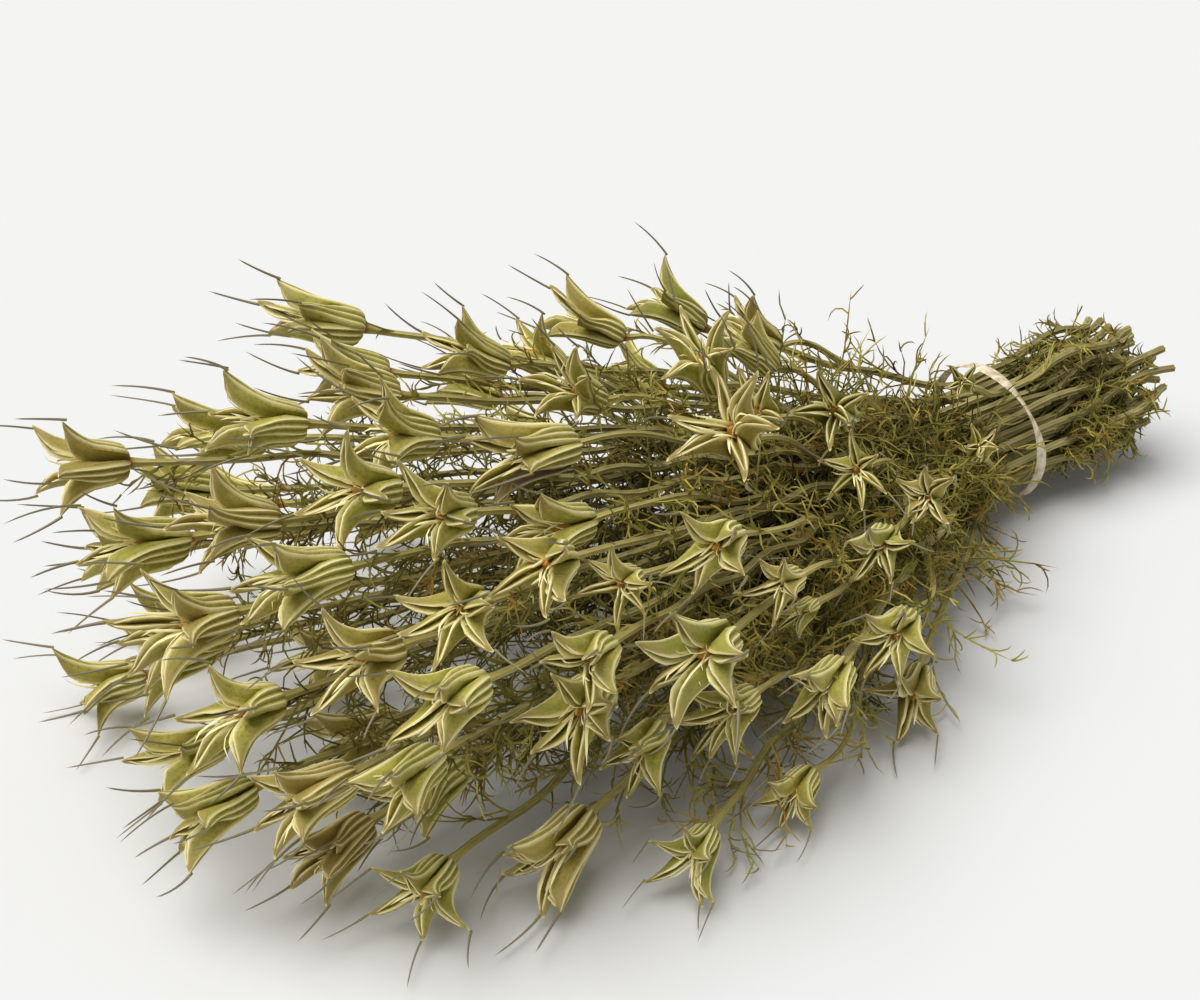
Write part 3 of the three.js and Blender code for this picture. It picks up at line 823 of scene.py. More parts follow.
    def add(self, sheaf: Sheaf, shoot: Shoot, row: int, base: Array) -> None:
        """Adds one pod.

        Args:
            sheaf: The plant that it grows on.
            shoot: The shoot that carries it.
            row: The shoot's place in the list.
            base: Where the pod starts.
        """
        rng = np.random.default_rng(SEED + row)
        up = Vector((0, 1, 0))
        turn = up.rotation_difference(Vector(shoot.aim)) @ Quaternion(up, chance(row, Draw.SPIN) * math.pi)
        turned = np.array(turn.to_matrix())
        shade = rng.random() + self.bleach * part_way(-base[0], *self.bleach_between)
        bodies, beaks, lips, shades, facing = [], [], [], [], []
        for one in self.grow(row, shoot.size < self.bud_size, rng):
            body, aside = self.shape(one, rng)
            bodies.append(body)
            beaks.append(self.shape_beak(one, aside, rng))
            lips.extend(self.shape_lip(one, side, rng) for side in (-1, 1))
            shades.append(shade + rng.uniform(-self.shade_jitter, self.shade_jitter))
            facing.append(turned @ [math.sin(one.angle), 0, math.cos(one.angle)])
        if row == self.purple_pod:
            shades[int(np.argmax(np.array(facing) @ self.purple_side))] = self.purple_shade
        along = self.follicle.along
        # low rib values take the painted shade of the furrows
        rib = np.array(self.rib_height)[self.follicle.corner] * (1 - self.rib_fade * along)
        rib = np.where(rib < 0, rib * part_way(along, *self.groove_end), rib)
        pieces = (
            (bodies, self.follicle, rib, along, shades),
            (beaks, self.beak, 0, self.beak_mark + self.beak.along, shades),
            ([self.shape_heart()], self.heart, -1, self.heart_mark, [shade]),
            (lips, self.beak, 1, mix(*self.lip_marks, self.beak.along), np.repeat(shades, 2)),
        )
        for copies, stock, ribbed, place, own in pieces:
            points = np.array(copies) * (shoot.size * self.fullness) @ turned.T + base
            sheaf.add(points, stock, Skin.POD, ribbed, place, np.array(own)[:, None])

    def grow(self, row: int, bud: bool, rng: np.random.Generator) -> Iterator[Follicle]:
        """Chooses how the follicles of a pod stand and how far each has opened.

        Args:
            row: The shoot's place in the list.
            bud: Whether the pod is an unopened bud.
            rng: The pod's own draws.

        Returns:
            The follicles, one by one, because each is shaped before the next is drawn.
        """
        open_share = self.bud_open if bud else chance(row, Draw.OPEN) * self.most_open
        lobes = self.bud_lobes if bud else self.lobes[int(chance(row, Draw.LOBES) * len(self.lobes))]
        for lobe in range(lobes):
            angle = 2 * math.pi * (lobe + rng.uniform(-self.angle_jitter, self.angle_jitter)) / lobes
            opened = open_share + rng.uniform(-self.open_jitter, self.open_jitter)
            longer = rng.uniform(*self.length_range)
            lean = rng.uniform(-self.lean_most, self.lean_most)
            opened = float(np.clip(opened, *self.open_limits))
            yield Follicle(angle, opened, longer, lean, math.pi / lobes, bud)

    def back(self, one: Follicle, s: Array) -> Array:
        """Reads a follicle's outer outline, from 0 at its base to 1 at its end."""
        return mix(smooth_line(self.back_closed, s), smooth_line(self.back_open, s), one.opened)

    def front(self, one: Follicle, s: Array) -> Array:
        """Reads a follicle's inner outline in the same way."""
        return mix(smooth_line(self.front_closed, s), smooth_line(self.front_open, s), one.opened)

    def width(self, s: Array) -> Array:
        """Reads half a follicle's width in the same way."""
        return smooth_line(np.array(self.half_width)[:, None], s)[:, 0]

    def aside(self, one: Follicle, height: Array) -> Array:
        """Tells how far a follicle leans sideways at a height."""
        return one.lean * np.maximum(height - self.lean_from, 0)

    def shape(self, one: Follicle, rng: np.random.Generator) -> tuple[Array, float]:
        """Shapes a follicle, upright at the origin.

        Args:
            one: The follicle.
            rng: The pod's own draws.

        Returns:
            Its points, and how far its end leans sideways.
        """
        s, corner = self.follicle.along, self.follicle.corner
        hooded = gently(part_way(s, *self.hood_from))[:, None]
        table = mix(np.array(self.section)[corner], np.array(self.hood)[corner], hooded)
        spot = mix(self.front(one, s), self.back(one, s), table[:, 1:])
        limit = np.maximum(spot[:, 1], self.axis_gap) * math.tan(one.sector) * self.sector_fill
        sideways = np.clip(table[:, 0] * self.width(s), -limit, limit)
        aside = self.aside(one, spot[:, 0])
        phase = rng.uniform(0, 2 * math.pi, 2)
        ripple = np.sin(s * self.ripples + phase[0] + table[:, 1] * self.ripple_turn) * self.ripple * s**2
        spot = spot * [one.longer, 1 + self.girth_jitter * math.sin(phase[1])]
        last_ring = s > 1 - 0.5 / self.rings
        return self.stand(spot, sideways + aside + ripple, one.angle), float(aside[last_ring].mean())

    def shape_beak(self, one: Follicle, aside: float, rng: np.random.Generator) -> Array:
        """Shapes the beak at a follicle's end.

        Args:
            one: The follicle.
            aside: How far the follicle's end leans sideways.
            rng: The pod's own draws.

        Returns:
            The beak's points.
        """
        t, ring = self.beak.along, self.beak.ring()
        tip = self.back(one, np.array([self.beak_from, 1.0])) * [one.longer, 1]
        way = unit(mix(unit(tip[1] - tip[0]), np.array([1.0, 0.0]), rng.uniform(*self.beak_upright)))
        length = self.beak_length * rng.uniform(*self.beak_range) * (self.bud_beak if one.bud else 1)
        curl = rng.uniform(*self.beak_curl) * length * t**2
        sway = aside + rng.uniform(-self.beak_sway, self.beak_sway) * length * t**self.sway_power
        thick = self.beak_radius * np.where(t >= 1, 0, 1 - self.beak_taper * t)
        normal = np.array([-way[1], way[0]])
        spine = tip[1] + way * (length * t - self.beak_sunk)[:, None]
        spine = spine + normal * (thick * np.cos(ring) - curl)[:, None]
        return self.stand(spine, sway + thick * np.sin(ring), one.angle)

    def shape_lip(self, one: Follicle, side: int, rng: np.random.Generator) -> Array:
        """Shapes one of the pale strips that come loose from a follicle's open edges.

        Args:
            one: The follicle.
            side: Which of its two edges, -1 or 1.
            rng: The pod's own draws.

        Returns:
            The strip's points.
        """
        t, ring = self.beak.along, self.beak.ring()
        s = mix(self.lip_from, rng.uniform(*self.lip_to), t)
        spot = self.front(one, s)
        thick = np.where(t >= 1, 0, 1 - self.lip_taper * t)
        loose = rng.uniform(0, self.lip_loose) * t**self.loose_power
        away = self.width(s) * self.lip_place + rng.uniform(*self.lip_swing) * t
        sideways = self.aside(one, spot[:, 0]) + side * away + self.lip_half[0] * thick * np.sin(ring)
        spot = spot * [one.longer, 1.0]
        spot[:, 1] += self.lip_half[1] * thick * np.cos(ring) - loose
        return self.stand(spot, sideways, one.angle)

    def shape_heart(self) -> Array:
        """Shapes the small cone that stands on the axis, inside the follicles.

        Returns:
            Its points.
        """
        t, ring = self.heart.along, self.heart.ring()
        wide = self.heart_radius * (1 - t**2)
        return np.column_stack([wide * np.sin(ring), mix(*self.heart_height, t), wide * np.cos(ring)])

    @staticmethod
    def stand(spot: Array, sideways: Array, angle: float) -> Array:
        """Stands points round the pod's axis, which is +Y here.

        Args:
            spot: [height, distance from the axis] of each point.
            sideways: How far it lies to the side.
            angle: The angle round the axis.

        Returns:
            The points in space.
        """
        out = np.array([math.sin(angle), 0, math.cos(angle)])
        side = np.array([math.cos(angle), 0, -math.sin(angle)])
        up = np.array([0.0, 1.0, 0.0])
        return spot[:, :1] * up + spot[:, 1:] * out + sideways[:, None] * side


@dataclass
class StemMaker:
    """Makes a ridged stem that tapers to its pod and swells where the pod sits."""

    radius: float = 1.45
    branch_radius: float = 1.15
    taper: float = 0.18
    ridge: float = 0.16
    sides: int = 12
    steps: int = 54
    branch_steps: int = 18
    swell: float = 2.0
    swell_length: float = 3
    upper_run: float = 40
    stem: Stock = field(init=False)
    branch: Stock = field(init=False)

    def __post_init__(self) -> None:
        """Models a straight stem and a straight branch."""
        self.stem = Stock.model(self.sides, self.steps, False)
        self.branch = Stock.model(self.sides, self.branch_steps, False)

    def add(self, sheaf: Sheaf, path: Array, branch: bool, shade: float) -> None:
        """Adds one stem or branch.

        Args:
            sheaf: The plant.
            path: Its line.
            branch: Whether it is a side branch.
            shade: The plant's own shade.
        """
        stock = self.branch if branch else self.stem
        index = np.round(stock.along * (len(path) - 1)).astype(int)
        way = unit(np.gradient(path, axis=0))
        side = unit(np.cross(way, [0.0, 0.0, 1.0]))
        up = np.cross(side, way)
        run = run_along(path)
        thick = (self.branch_radius if branch else self.radius) * (1 - self.taper * run / run[-1])
        thick = mix(thick, self.swell, np.exp(-(run[-1] - run) / self.swell_length))
        ring = stock.ring()
        rib = np.where(stock.corner % 2 == 0, 1.0, 0.0)
        ridges = mix(1 - self.ridge, 1 + self.ridge, rib)
        out = side[index] * np.sin(ring)[:, None] + up[index] * np.cos(ring)[:, None]
        points = path[index] + out * (thick[index] * ridges)[:, None]
        upper = np.exp((run[index] - run[-1]) / self.upper_run)
        sheaf.add(points[None], stock, Skin.STEM, rib, upper, shade, lifted=False)


@dataclass
class ThreadMaker:
    """Makes the dry thread leaves: a curling main thread with finer threads along it.

    Near the tie they lie along the stems, and in the fan they stand out from them.
    """

    # one thread
    radius: float = 0.44
    main_thick: float = 1.2
    taper: float = 0.45
    sides: int = 3
    steps: int = 4
    tilt: tuple[float, float, float] = (0.31, 0.52, 0.79)
    least_turn: float = 0.15
    sway: float = 0.1
    sway_rate: float = 1.9
    # a leaf's main thread
    leaf_length: Range = (20, 50)
    tight_length: float = 0.75
    fan_length: float = 0.7
    handle_length: float = 0.72
    main_bend: float = 1.4
    forward: Range = (-0.35, 1.2)
    stand_out: Range = (0.36, 0.55)
    # the finer threads along it
    side_threads: tuple[int, int] = (4, 9)
    side_length: Range = (7, 21)
    side_shorter: Range = (1.15, 0.65)
    side_from: Range = (0.12, 0.98)
    side_forward: Range = (0.4, 1.1)
    side_apart: Range = (0.45, 0.6)
    side_bend: float = 2.3
    # how often leaves grow along a shoot
    first_leaf: float = 2.0
    bare_end: float = 16
    least_run: float = 4
    spacing: float = 6.0
    scatter: float = 3
    near_low: Range = (-66, 66)  # shoots that end nearer and lower than this have more leaves
    near_spacing: float = 0.36
    handle_share: float = 0.8
    top_depth: float = 0.6
    top_share: float = 0.5
    fan_spacing: float = 6.4
    bare_depth: float = 0.22
    bare_share: float = 0.26
    # round the tie, as places along the bunch
    tight: Range = (5, -70)  # from where to where the leaves come loose
    half_tight: float = 0.5  # leaves less loose than this lie along the stems
    turned_back: float = 48  # leaves behind this place point towards the tie
    tie_clear: float = 8
    tie_near: float = 32
    # out in the fan
    fan_from: float = -225
    fan_hug: float = -260
    fan_forward: float = 0.4
    fan_out: float = 0.4
    # how much of the painted shade deep inside the bunch is kept out in the fan
    fan_painted_shade: float = 0.55
    # on the upper outside of the bunch
    outer_depth: float = 0.5
    outer_drop: float = 12
    outer_share: float = 0.72
    outer_flat: float = 0.5
    outer_along: float = 0.5
    outer_apart: float = 0.75
    # the outline of the bunch, for how deep inside it a point lies
    bunch_half: float = 29
    bunch_wider: float = 0.26
    bunch_higher: float = 0.1
    halfway_in: float = 0.5
    thread: Stock = field(init=False)

    def __post_init__(self) -> None:
        """Models the thread."""
        self.thread = Stock.model(self.sides, self.steps, True)

    def loose(self, x: Array) -> Array:
        """Tells how free of the tie a place along the bunch is: 0 in the tie, 1 well in front of it."""
        return part_way(x, *self.tight)

    def fanned(self, x: Array) -> Array:
        """Tells how far out in the fan a place along the bunch is."""
        return part_way(x, self.fan_from, self.fan_hug)

    def depth(self, points: Array) -> Array:
        """Tells how deep inside the bunch points lie: 0 at its outside, 1 from halfway in.

        Args:
            points: The points.

        Returns:
            A depth for each.
        """
        reach = np.maximum(-points[..., 0], 0)
        across = points[..., 1] / (self.bunch_half + self.bunch_wider * reach)
        upward = points[..., 2] / (self.bunch_half + self.bunch_higher * reach) - 1
        return part_way(np.hypot(across, upward), 1, self.halfway_in)

    def outer(self, points: Array) -> Array:
        """Tells how much points belong to the upper outside of the bunch, where leaves lie flatter.

        Args:
            points: The points.

        Returns:
            A share for each.
        """
        middle = self.bunch_half + self.bunch_higher * np.maximum(-points[:, 0], 0)
        upper = points[:, 2] > middle - self.outer_drop
        return part_way(self.depth(points), self.outer_depth, 0) * upper

    def painted_shade(self, points: Array) -> Array:
        """Tells how much painted shade the leaves take: most deep inside the bunch, and less out in the fan.
        """
        return self.depth(points) * mix(1, self.fan_painted_shade, self.fanned(points[..., 0]))

    def roots(self, path: Array, rng: np.random.Generator) -> tuple[Array, Array]:
        """Chooses where the leaves of a shoot grow.

        Args:
            path: The shoot's line.
            rng: The shoot's own draws.

        Returns:
            Their roots, and the way that the shoot runs there.
        """
        run = run_along(path)
        near = path[-1, 1] < self.near_low[0] and path[-1, 2] < self.near_low[1]
        step = self.spacing * (self.near_spacing if near else 1)
        spots = np.arange(self.first_leaf, max(run[-1] - self.bare_end, self.least_run), step)
        spots = spots + rng.uniform(-self.scatter, self.scatter, len(spots))
        root = read_at(spots, run, path)
        way = read_at(spots, run, np.gradient(path, run, axis=0))
        x, depth = root[:, 0], self.depth(root)
        on_top = (depth < self.top_depth) & (x > self.fan_from)
        share = np.where(x > 0, self.handle_share, np.where(on_top, self.top_share, 1))
        fan_share = np.where(depth > self.bare_depth, self.spacing / self.fan_spacing, self.bare_share)
        keep = np.abs(x) > self.tie_clear
        keep &= rng.random(len(spots)) < share
        keep &= (x > self.fan_from) | (rng.random(len(spots)) < fan_share)
        return root[keep], unit(way[keep])

    def headings(self, root: Array, way: Array, outer: Array, rng: np.random.Generator) -> Array:
        """Chooses the ways that the leaves set out.

        Args:
            root: Their roots.
            way: The way that the shoot runs there.
            outer: How much each belongs to the upper outside of the bunch.
            rng: The shoot's own draws.

        Returns:
            A way of length one for each.
        """
        x, leaves = root[:, 0], len(root)
        loose, fanned = self.loose(x), self.fanned(x)
        around = rng.uniform(0, 2 * math.pi, leaves)
        side = np.column_stack([np.zeros(leaves), np.cos(around), np.sin(around)])
        forward = rng.uniform(*self.forward, leaves)
        forward = np.where(loose < self.half_tight, np.sign(forward), forward)
        forward = np.where(x > self.turned_back, np.abs(forward), forward)
        forward = np.where(np.abs(x) < self.tie_near, np.abs(forward) * -np.sign(x), forward)
        forward = mix(forward, np.abs(forward) + self.fan_forward, fanned)
        forward = forward + np.sign(forward) * outer * self.outer_along
        out = mix(mix(*self.stand_out, loose), self.fan_out, fanned) * mix(1, self.outer_flat, outer)
        return unit(side * out[:, None] + way * forward[:, None])

    def add(self, sheaf: Sheaf, path: Array, row: int) -> None:
        """Adds the leaves of one shoot.

        Args:
            sheaf: The plant.
            path: The shoot's line.
            row: The shoot's place in the list.
        """
        rng = np.random.default_rng(THREAD_SEED + row)
        root, way = self.roots(path, rng)
        x, outer = root[:, 0], self.outer(root)
        loose = self.loose(x)
        heading = self.headings(root, way, outer, rng)
        shorter = mix(1, self.outer_share, outer) * np.where(x > 0, self.handle_length, 1)
        length = rng.uniform(*self.leaf_length, len(root)) * shorter
        length = length * mix(mix(self.tight_length, 1, loose), self.fan_length, self.fanned(x))
        main = self.curl(root, heading, length, self.main_bend, rng)
        shade = rng.uniform(0, 1, len(root))
        self.sweep(sheaf, main, self.radius * self.main_thick, shade)
        apart = mix(*self.side_apart, loose) * mix(1, self.outer_apart, outer)
        self.add_sides(sheaf, main, apart, shorter, shade, rng)

    def add_sides(
        self, sheaf: Sheaf, main: Array, apart: Array, shorter: Array, shade: Array, rng: np.random.Generator
    ) -> None:
        """Adds the finer threads along the main ones.

        Args:
            sheaf: The plant.
            main: The lines of the main threads.
            apart: How far the finer threads stand off, for each main thread.
            shorter: The share of their usual length, for each main thread.
            shade: The shade of each main thread.
            rng: The shoot's own draws.
        """
        number = rng.integers(*self.side_threads, len(main))
        of = np.repeat(np.arange(len(main)), number)
        share = rng.uniform(*self.side_from, len(of))
        low = np.minimum((share * self.steps).astype(int), self.steps - 1)
        root = mix(main[of, low], main[of, low + 1], (share * self.steps - low)[:, None])
        along = unit(main[of, low + 1] - main[of, low])
        spin = unit(np.cross(along, rng.normal(size=root.shape)))
        forward = rng.uniform(*self.side_forward, (len(of), 1))
        heading = unit(along * forward + spin * apart[of][:, None])
        length = rng.uniform(*self.side_length, len(of)) * mix(*self.side_shorter, share) * shorter[of]
        lines = self.curl(root, heading, length, self.side_bend, rng)
        self.sweep(sheaf, lines, self.radius, shade[of])

    def curl(
        self, root: Array, heading: Array, length: Array, bend: float, rng: np.random.Generator
    ) -> Array:
        """Draws curling lines.

        Args:
            root: Where each starts.
            heading: The way that each sets out.
            length: How long each is.
            bend: The most that a line turns, in radians.
            rng: The shoot's own draws.

        Returns:
            Lines by points by three.
        """
        axis = unit(np.cross(heading, rng.normal(size=heading.shape)))
        turn = rng.uniform(self.least_turn, 1, len(root)) * bend / self.steps
        sway = unit(rng.normal(size=heading.shape)) * self.sway
        lines = [root]
        for i in range(self.steps):
            angle = (turn * (i + 0.5))[:, None]
            way = heading * np.cos(angle) + np.cross(axis, heading) * np.sin(angle)
            way = unit(way + sway * math.sin(i * self.sway_rate))
            lines.append(lines[-1] + way * (length / self.steps)[:, None])
        return np.stack(lines, axis=1)

    def sweep(self, sheaf: Sheaf, lines: Array, radius: float, shade: Array) -> None:
        """Adds threads along lines.

        Args:
            sheaf: The plant.
            lines: Lines by points by three.
            radius: The threads' radius at their roots.
            shade: The shade of each.
        """
        t, ring = self.thread.along, self.thread.ring()
        index = np.round(t * self.steps).astype(int)
        way = unit(np.gradient(lines, axis=1))
        side = unit(np.cross(way, self.tilt))
        up = np.cross(side, way)
        thick = radius * np.where(t >= 1, 0, 1 - self.taper * t)
        out = side[:, index] * np.cos(ring)[:, None] + up[:, index] * np.sin(ring)[:, None]
        points = lines[:, index] + out * thick[:, None]
        # a thread's rib value carries its painted shade deep inside the bunch
        sheaf.add(points, self.thread, Skin.THREAD, self.painted_shade(points), t, shade[:, None])


@dataclass
class TieMaker:
    """Makes the tie: a flat band that twists as it goes round the stems."""

    half_width: float = 30.4
    half_height: float = 28.4
    centre: float = 29
    shift: float = -0.6
    wander: float = 1.2
    wander_start: float = 1
    band: float = 2.7
    thick: float = 0.55
    flatness: float = 0.7
    sides: int = 8
    steps: int = 160
    twists: tuple[float, ...] = (0, 0.2, 1.1, 0.4, -0.2, 1.0, -0.1, -1.1, 0)
    lift: float = 0.45

    def add(self, sheaf: Sheaf) -> None:
        """Adds the band, bent from a straight flat strip and joined end to end.

        Args:
            sheaf: The tie's own mesh.
        """
        stock = Stock.model(self.sides, self.steps, False)
        ring = stock.ring()
        angle = 2 * math.pi * stock.along - math.pi / 2
        twist = smooth_line(np.array(self.twists, float)[:, None], stock.along)[:, 0]
        flat = np.sign(np.cos(ring)) * np.abs(np.cos(ring)) ** self.flatness * self.thick
        broad = np.sin(ring) * self.band
        out = flat * np.cos(twist) - broad * np.sin(twist) * self.lift
        along = flat * np.sin(twist) + broad * np.cos(twist)
        points = np.column_stack([
            self.shift + self.wander * np.sin(2 * angle + self.wander_start) + along,
            np.cos(angle) * (self.half_width + out),
            self.centre + np.sin(angle) * (self.half_height + out),
        ])
        sheaf.add(points[None], stock, BAND_FINISH, 0, stock.along, 0)


def add_node(
    tree: bpy.types.NodeTree, kind: str, settings: dict | None = None, values: dict | None = None,
    links: dict | None = None,
) -> bpy.types.Node:
    """Adds a node with its settings, its input values and its links.

    Args:
        tree: The material's tree.
        kind: The node's type.
        settings: Properties to set.
        values: Input values, by socket name or number.
        links: Sockets to link, by input name or number.

    Returns:
        The node.
    """
    node = tree.nodes.new(kind)
    for name, value in (settings or {}).items():
        setattr(node, name, value)
    for name, value in (values or {}).items():
        node.inputs[name].default_value = value
    for name, socket in (links or {}).items():
        tree.links.new(socket, node.inputs[name])
    return node


@dataclass(frozen=True)
class Grain:
    """A noise of a real size in millimetres, longer along each axis by its stretch."""

    size: float
    stretch: tuple[float, float, float] = (1, 1, 1)


@dataclass(frozen=True)
class Pattern:
    """A value or a noise that is read from the surface, and its readings that count as 0 and as 1."""

    source: Mark | Grain
    none: float
    full: float

    def share(self, tree: bpy.types.NodeTree) -> bpy.types.NodeSocket:
        """Reads the pattern in a material.

        Args:
            tree: The material's tree.

        Returns:
            A share from 0 to 1.
        """
        if isinstance(self.source, Mark):
            mark = {"attribute_name": self.source.value}
            value = add_node(tree, "ShaderNodeAttribute", mark).outputs["Fac"]
        else:
            place = add_node(tree, "ShaderNodeTexCoord").outputs["Object"]
            scale = tuple(1 / (self.source.size * MM * longer) for longer in self.source.stretch)
            place = add_node(tree, "ShaderNodeMapping", {}, {"Scale": scale}, {"Vector": place}).outputs[0]
            noise = {"Scale": 1, "Detail": NOISE_DETAIL}
            value = add_node(tree, "ShaderNodeTexNoise", {}, noise, {"Vector": place}).outputs["Fac"]
        limits = {"From Min": self.none, "From Max": self.full}
        return add_node(tree, "ShaderNodeMapRange", {}, limits, {"Value": value}).outputs[0]


@dataclass(frozen=True)
class Coat:
    """A colour that shows over those before it where its pattern is full."""

    colour: str
    pattern: Pattern


@dataclass(frozen=True)
class Relief:
    """A fine unevenness, with its depth in millimetres."""

    pattern: Pattern
    strength: float
    depth: float


@dataclass(frozen=True)
class Finish:
    """A surface: its ground colour, the coats over it in order, and how it takes the light."""

    name: str
    ground: str
    coats: tuple[Coat, ...] = ()
    roughness: float = 0.7
    specular: float = 0.5
    relief: Relief | None = None

    def make(self) -> bpy.types.Material:
        """Builds the material.

        Returns:
            The material.
        """
        material = bpy.data.materials.new(self.name)
        material.use_nodes = True
        tree = material.node_tree
        shader = tree.nodes["Principled BSDF"]
        colour = add_node(tree, "ShaderNodeRGB").outputs[0]
        colour.default_value = linear(self.ground)
        for coat in self.coats:
            upper = {MIX_UPPER: linear(coat.colour)}
            links = {MIX_SHARE: coat.pattern.share(tree), MIX_LOWER: colour}
            laid = add_node(tree, "ShaderNodeMix", {"data_type": "RGBA"}, upper, links)
            colour = laid.outputs[MIX_RESULT]
        tree.links.new(colour, shader.inputs["Base Color"])
        shader.inputs["Roughness"].default_value = self.roughness
        shader.inputs["Specular IOR Level"].default_value = self.specular
        if self.relief:
            height = {"Height": self.relief.pattern.share(tree)}
            size = {"Strength": self.relief.strength, "Distance": self.relief.depth * MM}
            bump = add_node(tree, "ShaderNodeBump", {}, size, height)
            tree.links.new(bump.outputs[0], shader.inputs["Normal"])
        return material


@dataclass(frozen=True)
class PodFinish(Finish):
    """Dry seed-pod skin: matt and papery, olive on the flat sides, straw-yellow along the ribs and lips,
    with painted shade in the furrows.
    """

    name: str = "dry_pod_skin"
    ground: str = "#a09c3e"
    coats: tuple[Coat, ...] = (
        Coat("#c5b75d", Pattern(Grain(6), 0.3, 0.7)),  # yellow clouds
        Coat("#8a8c38", Pattern(Mark.SHADE, 0.45, -0.1)),  # greener pods
        Coat("#a68b4b", Pattern(Mark.SHADE, 0.74, 1.3)),  # faded pods
        Coat("#757629", Pattern(Grain(1.1), 0.5, 0.85)),  # dark specks
        Coat("#6d5450", Pattern(Mark.SHADE, 1.6, 1.9)),  # one purple follicle
        Coat("#a18c56", Pattern(Mark.ALONG, 0.7, 1.06)),  # browner tips
        Coat("#82823a", Pattern(Mark.RIB, 0.2, -0.05)),  # painted shade in the furrows
        Coat("#fff4b8", Pattern(Mark.RIB, 0.42, 0.9)),  # pale ribs and lips
        Coat("#c28d42", Pattern(Mark.RIB, -0.1, -0.6)),  # orange heart and grooves
        Coat("#a8662f", Pattern(Mark.ALONG, 0.05, 0)),  # rusty root
        Coat("#857d66", Pattern(Mark.ALONG, 1.1, 1.35)),  # grey beaks
    )
    roughness: float = 0.62
    specular: float = 0.3
    relief: Relief | None = Relief(Pattern(Grain(0.9), 0.2, 0.8), 0.35, 0.25)


STEM_STREAK = Pattern(Grain(1.2, (16, 1, 1)), 0.3, 0.7)


@dataclass(frozen=True)
class StemFinish(Finish):
    """Dry stem: matt, ridged and streaked along its length, grey-olive, yellower towards the pod."""

    name: str = "dry_stem"
    ground: str = "#655d30"
    coats: tuple[Coat, ...] = (
        Coat("#b9af74", STEM_STREAK),  # pale streaks
        Coat("#b9af74", Pattern(Mark.RIB, 0.1, 1.2)),  # pale ridges
        Coat("#66582e", Pattern(Mark.SHADE, 0.4, 1.4)),  # browner stems
        Coat("#c4b668", Pattern(Mark.ALONG, 0, 1.4)),  # yellow upper end
        Coat("#a5642f", Pattern(Mark.ALONG, 0.93, 0.98)),  # rusty joint with the pod
    )
    roughness: float = 0.7
    specular: float = 0.25
    relief: Relief | None = Relief(STEM_STREAK, 0.4, 0.2)


@dataclass(frozen=True)
class ThreadFinish(Finish):
    """Dry thread leaf: matt, from olive to brown, each leaf a shade of its own, with painted shade deep
    inside the bunch.
    """

    name: str = "dry_thread_leaf"
    ground: str = "#777432"
    coats: tuple[Coat, ...] = (
        Coat("#b9ad58", Pattern(Mark.SHADE, 0.1, 0.8)),  # straw leaves
        Coat("#a5853f", Pattern(Mark.SHADE, 0.8, 0.95)),  # orange leaves
        Coat("#57421e", Pattern(Grain(14), 0.5, 0.75)),  # brown clouds
        Coat("#382b10", Pattern(Mark.RIB, 0, 1.15)),  # painted shade deep inside the bunch
    )
    roughness: float = 0.75
    specular: float = 0.2


@dataclass(frozen=True)
class TieFinish(Finish):
    """Off-white rubber band: matt and slightly dusty, with fine lines along it."""

    name: str = "off_white_band"
    ground: str = "#ecdfc2"
    coats: tuple[Coat, ...] = (
        Coat("#b8a480", Pattern(Grain(3), 0.38, 0.66)),  # dust
    )
    roughness: float = 0.6
    relief: Relief | None = Relief(Pattern(Grain(0.8, (1, 6, 6)), 0.3, 0.7), 0.3, 0.15)


@dataclass(frozen=True)
class FloorFinish(Finish):
    """Matt white studio floor."""

    name: str = "studio_floor"
    ground: str = "#dcdcdb"
    roughness: float = 0.8
    specular: float = 0.2


@dataclass
class Studio:
    """The floor, the soft light and the camera at the photograph's viewing angle."""

    azimuth: float = -38
    elevation: float = 30
    distance: float = 0.935
    target: tuple[float, float, float] = (-0.2, 0, 0.068)
    lens: float = 78
    sensor: float = 36
    floor_size: float = 12
    key_way: tuple[float, float, float] = (0.34, -0.16, -1)
    key_strength: float = 3.2
    key_softness: float = 60
    sky: str = "#f6f6f6"
    sky_strength: float = 0.35

    def make_floor(self) -> None:
        """Makes the floor."""
        bpy.ops.object.select_all(action="DESELECT")
        bpy.ops.mesh.primitive_plane_add(size=self.floor_size)
        floor = bpy.context.object
        floor.name = "studio_floor"
        floor.data.materials.append(FloorFinish().make())

    def make_light(self) -> None:
        """Makes the pale sky and the broad key light from above, a little behind and to the left."""
        world = bpy.data.worlds.new("studio_sky")
        world.use_nodes = True
        sky = world.node_tree.nodes["Background"]
        sky.inputs["Color"].default_value = linear(self.sky)
        sky.inputs["Strength"].default_value = self.sky_strength
        bpy.context.scene.world = world
        data = bpy.data.lights.new("key", "SUN")
        data.energy = self.key_strength
        data.angle = math.radians(self.key_softness)
        light = bpy.data.objects.new("key", data)
        light.rotation_euler = Vector(self.key_way).to_track_quat("-Z", "Y").to_euler()
        bpy.context.scene.collection.objects.link(light)

    def make_camera(self) -> None:
        """Makes the camera."""
        a, e = math.radians(self.azimuth), math.radians(self.elevation)
        back = Vector((math.sin(a) * math.cos(e), -math.cos(a) * math.cos(e), math.sin(e)))
        data = bpy.data.cameras.new("camera")
        data.lens, data.sensor_width = self.lens, self.sensor
        camera = bpy.data.objects.new("camera", data)
        camera.location = Vector(self.target) + back * self.distance
        camera.rotation_euler = (-back).to_track_quat("-Z", "Y").to_euler()
        bpy.context.scene.collection.objects.link(camera)
        bpy.context.scene.camera = camera


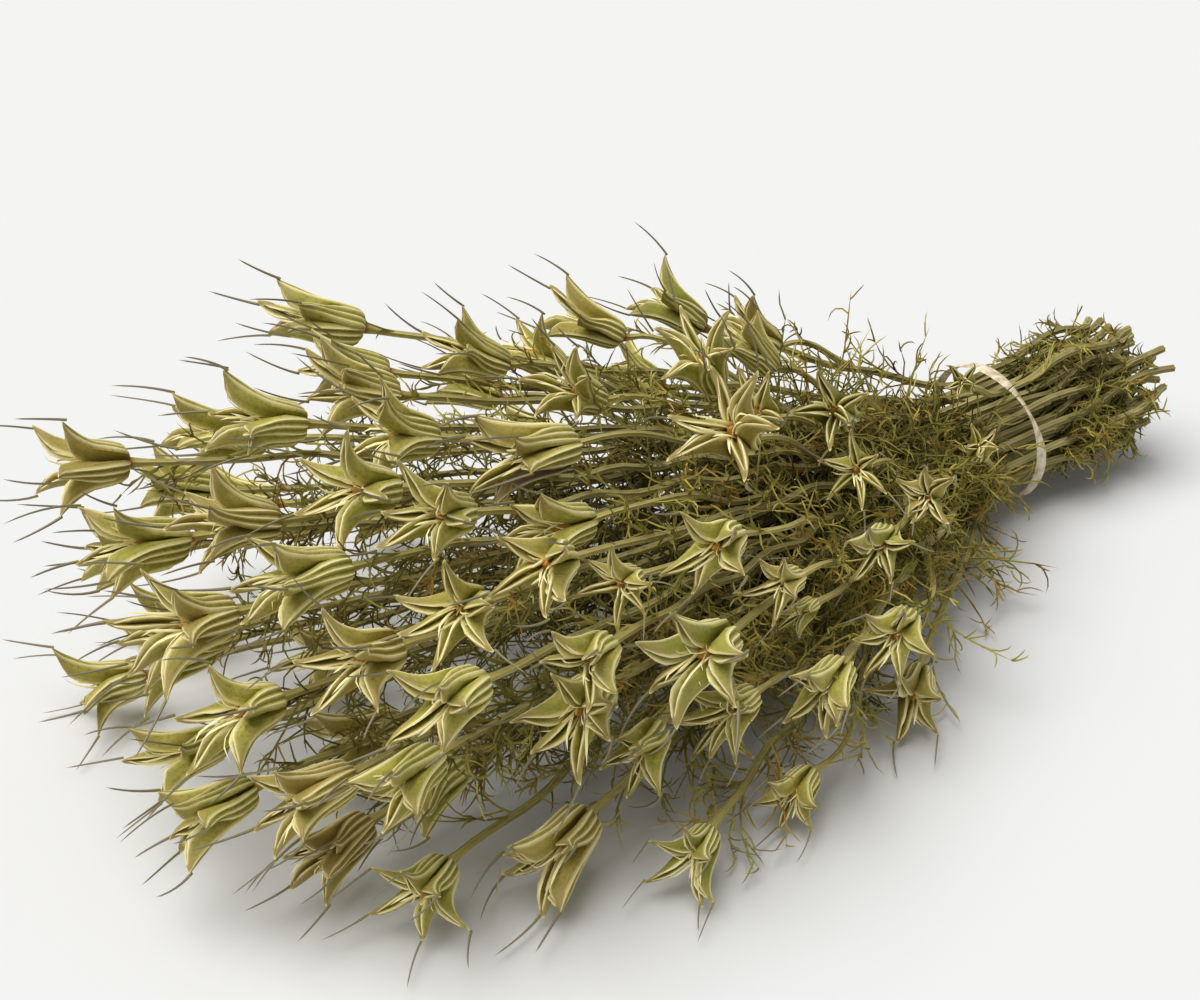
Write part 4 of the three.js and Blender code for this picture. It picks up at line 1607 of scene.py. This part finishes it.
@dataclass
class Bunch:
    """The whole bunch: its stems with their pods and thread leaves, and the tie."""

    layout: BunchLayout
    pods: PodMaker
    stems: StemMaker
    threads: ThreadMaker
    tie: TieMaker

    def make_plant(self, node: int, materials: list[bpy.types.Material]) -> bpy.types.Object:
        """Makes one plant in place of its solid.

        Args:
            node: The plant's number, from zero.
            materials: Its finishes.

        Returns:
            The piece.
        """
        sheaf = Sheaf()
        for row, shoot in enumerate(self.layout.shoots):
            if shoot.node != node:
                continue
            branch = shoot.stem is not None
            path = self.layout.path(shoot, row, self.stems.branch_steps if branch else self.stems.steps)
            self.stems.add(sheaf, path, branch, chance(row, Draw.SHADE))
            self.pods.add(sheaf, shoot, row, self.layout.base(shoot))
            self.threads.add(sheaf, path, row)
        name = f"stem_{node + 1:02d}"
        piece = sheaf.make(f"plant_{node + 1:02d}", materials)
        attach(piece, ROOT_BODY)
        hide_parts(name)
        return piece

    def make_tie(self) -> bpy.types.Object:
        """Makes the tie in place of its solid.

        Returns:
            The piece.
        """
        sheaf = Sheaf()
        self.tie.add(sheaf)
        piece = sheaf.make("band_tie", [TieFinish().make()])
        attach(piece, ROOT_BODY)
        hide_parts(TIE_NODE)
        return piece


def write_sizes() -> None:
    """Updates the view layer; no sizes are written."""
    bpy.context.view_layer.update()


def main() -> None:
    """Builds the bunch piece by piece, then the studio."""
    logging.basicConfig(level=logging.INFO, format="%(name)s: %(message)s")
    bunch = Bunch(BunchLayout().lay(), PodMaker(), StemMaker(), ThreadMaker(), TieMaker())
    materials = [PodFinish().make(), StemFinish().make(), ThreadFinish().make()]
    total = 0
    for node in range(len(STEMS)):
        piece = bunch.make_plant(node, materials)
        total += sum(len(p.vertices) - 2 for p in piece.data.polygons)
        log.info("%s: %d points", piece.name, len(piece.data.vertices))
    tie = bunch.make_tie()
    log.info("%s: %d points", tie.name, len(tie.data.vertices))
    log.info("plants: %d triangles", total)
    studio = Studio()
    studio.make_floor()
    studio.make_light()
    studio.make_camera()
    bpy.context.scene.view_settings.view_transform = "Standard"
    write_sizes()


if __name__ == "__main__":
    main()
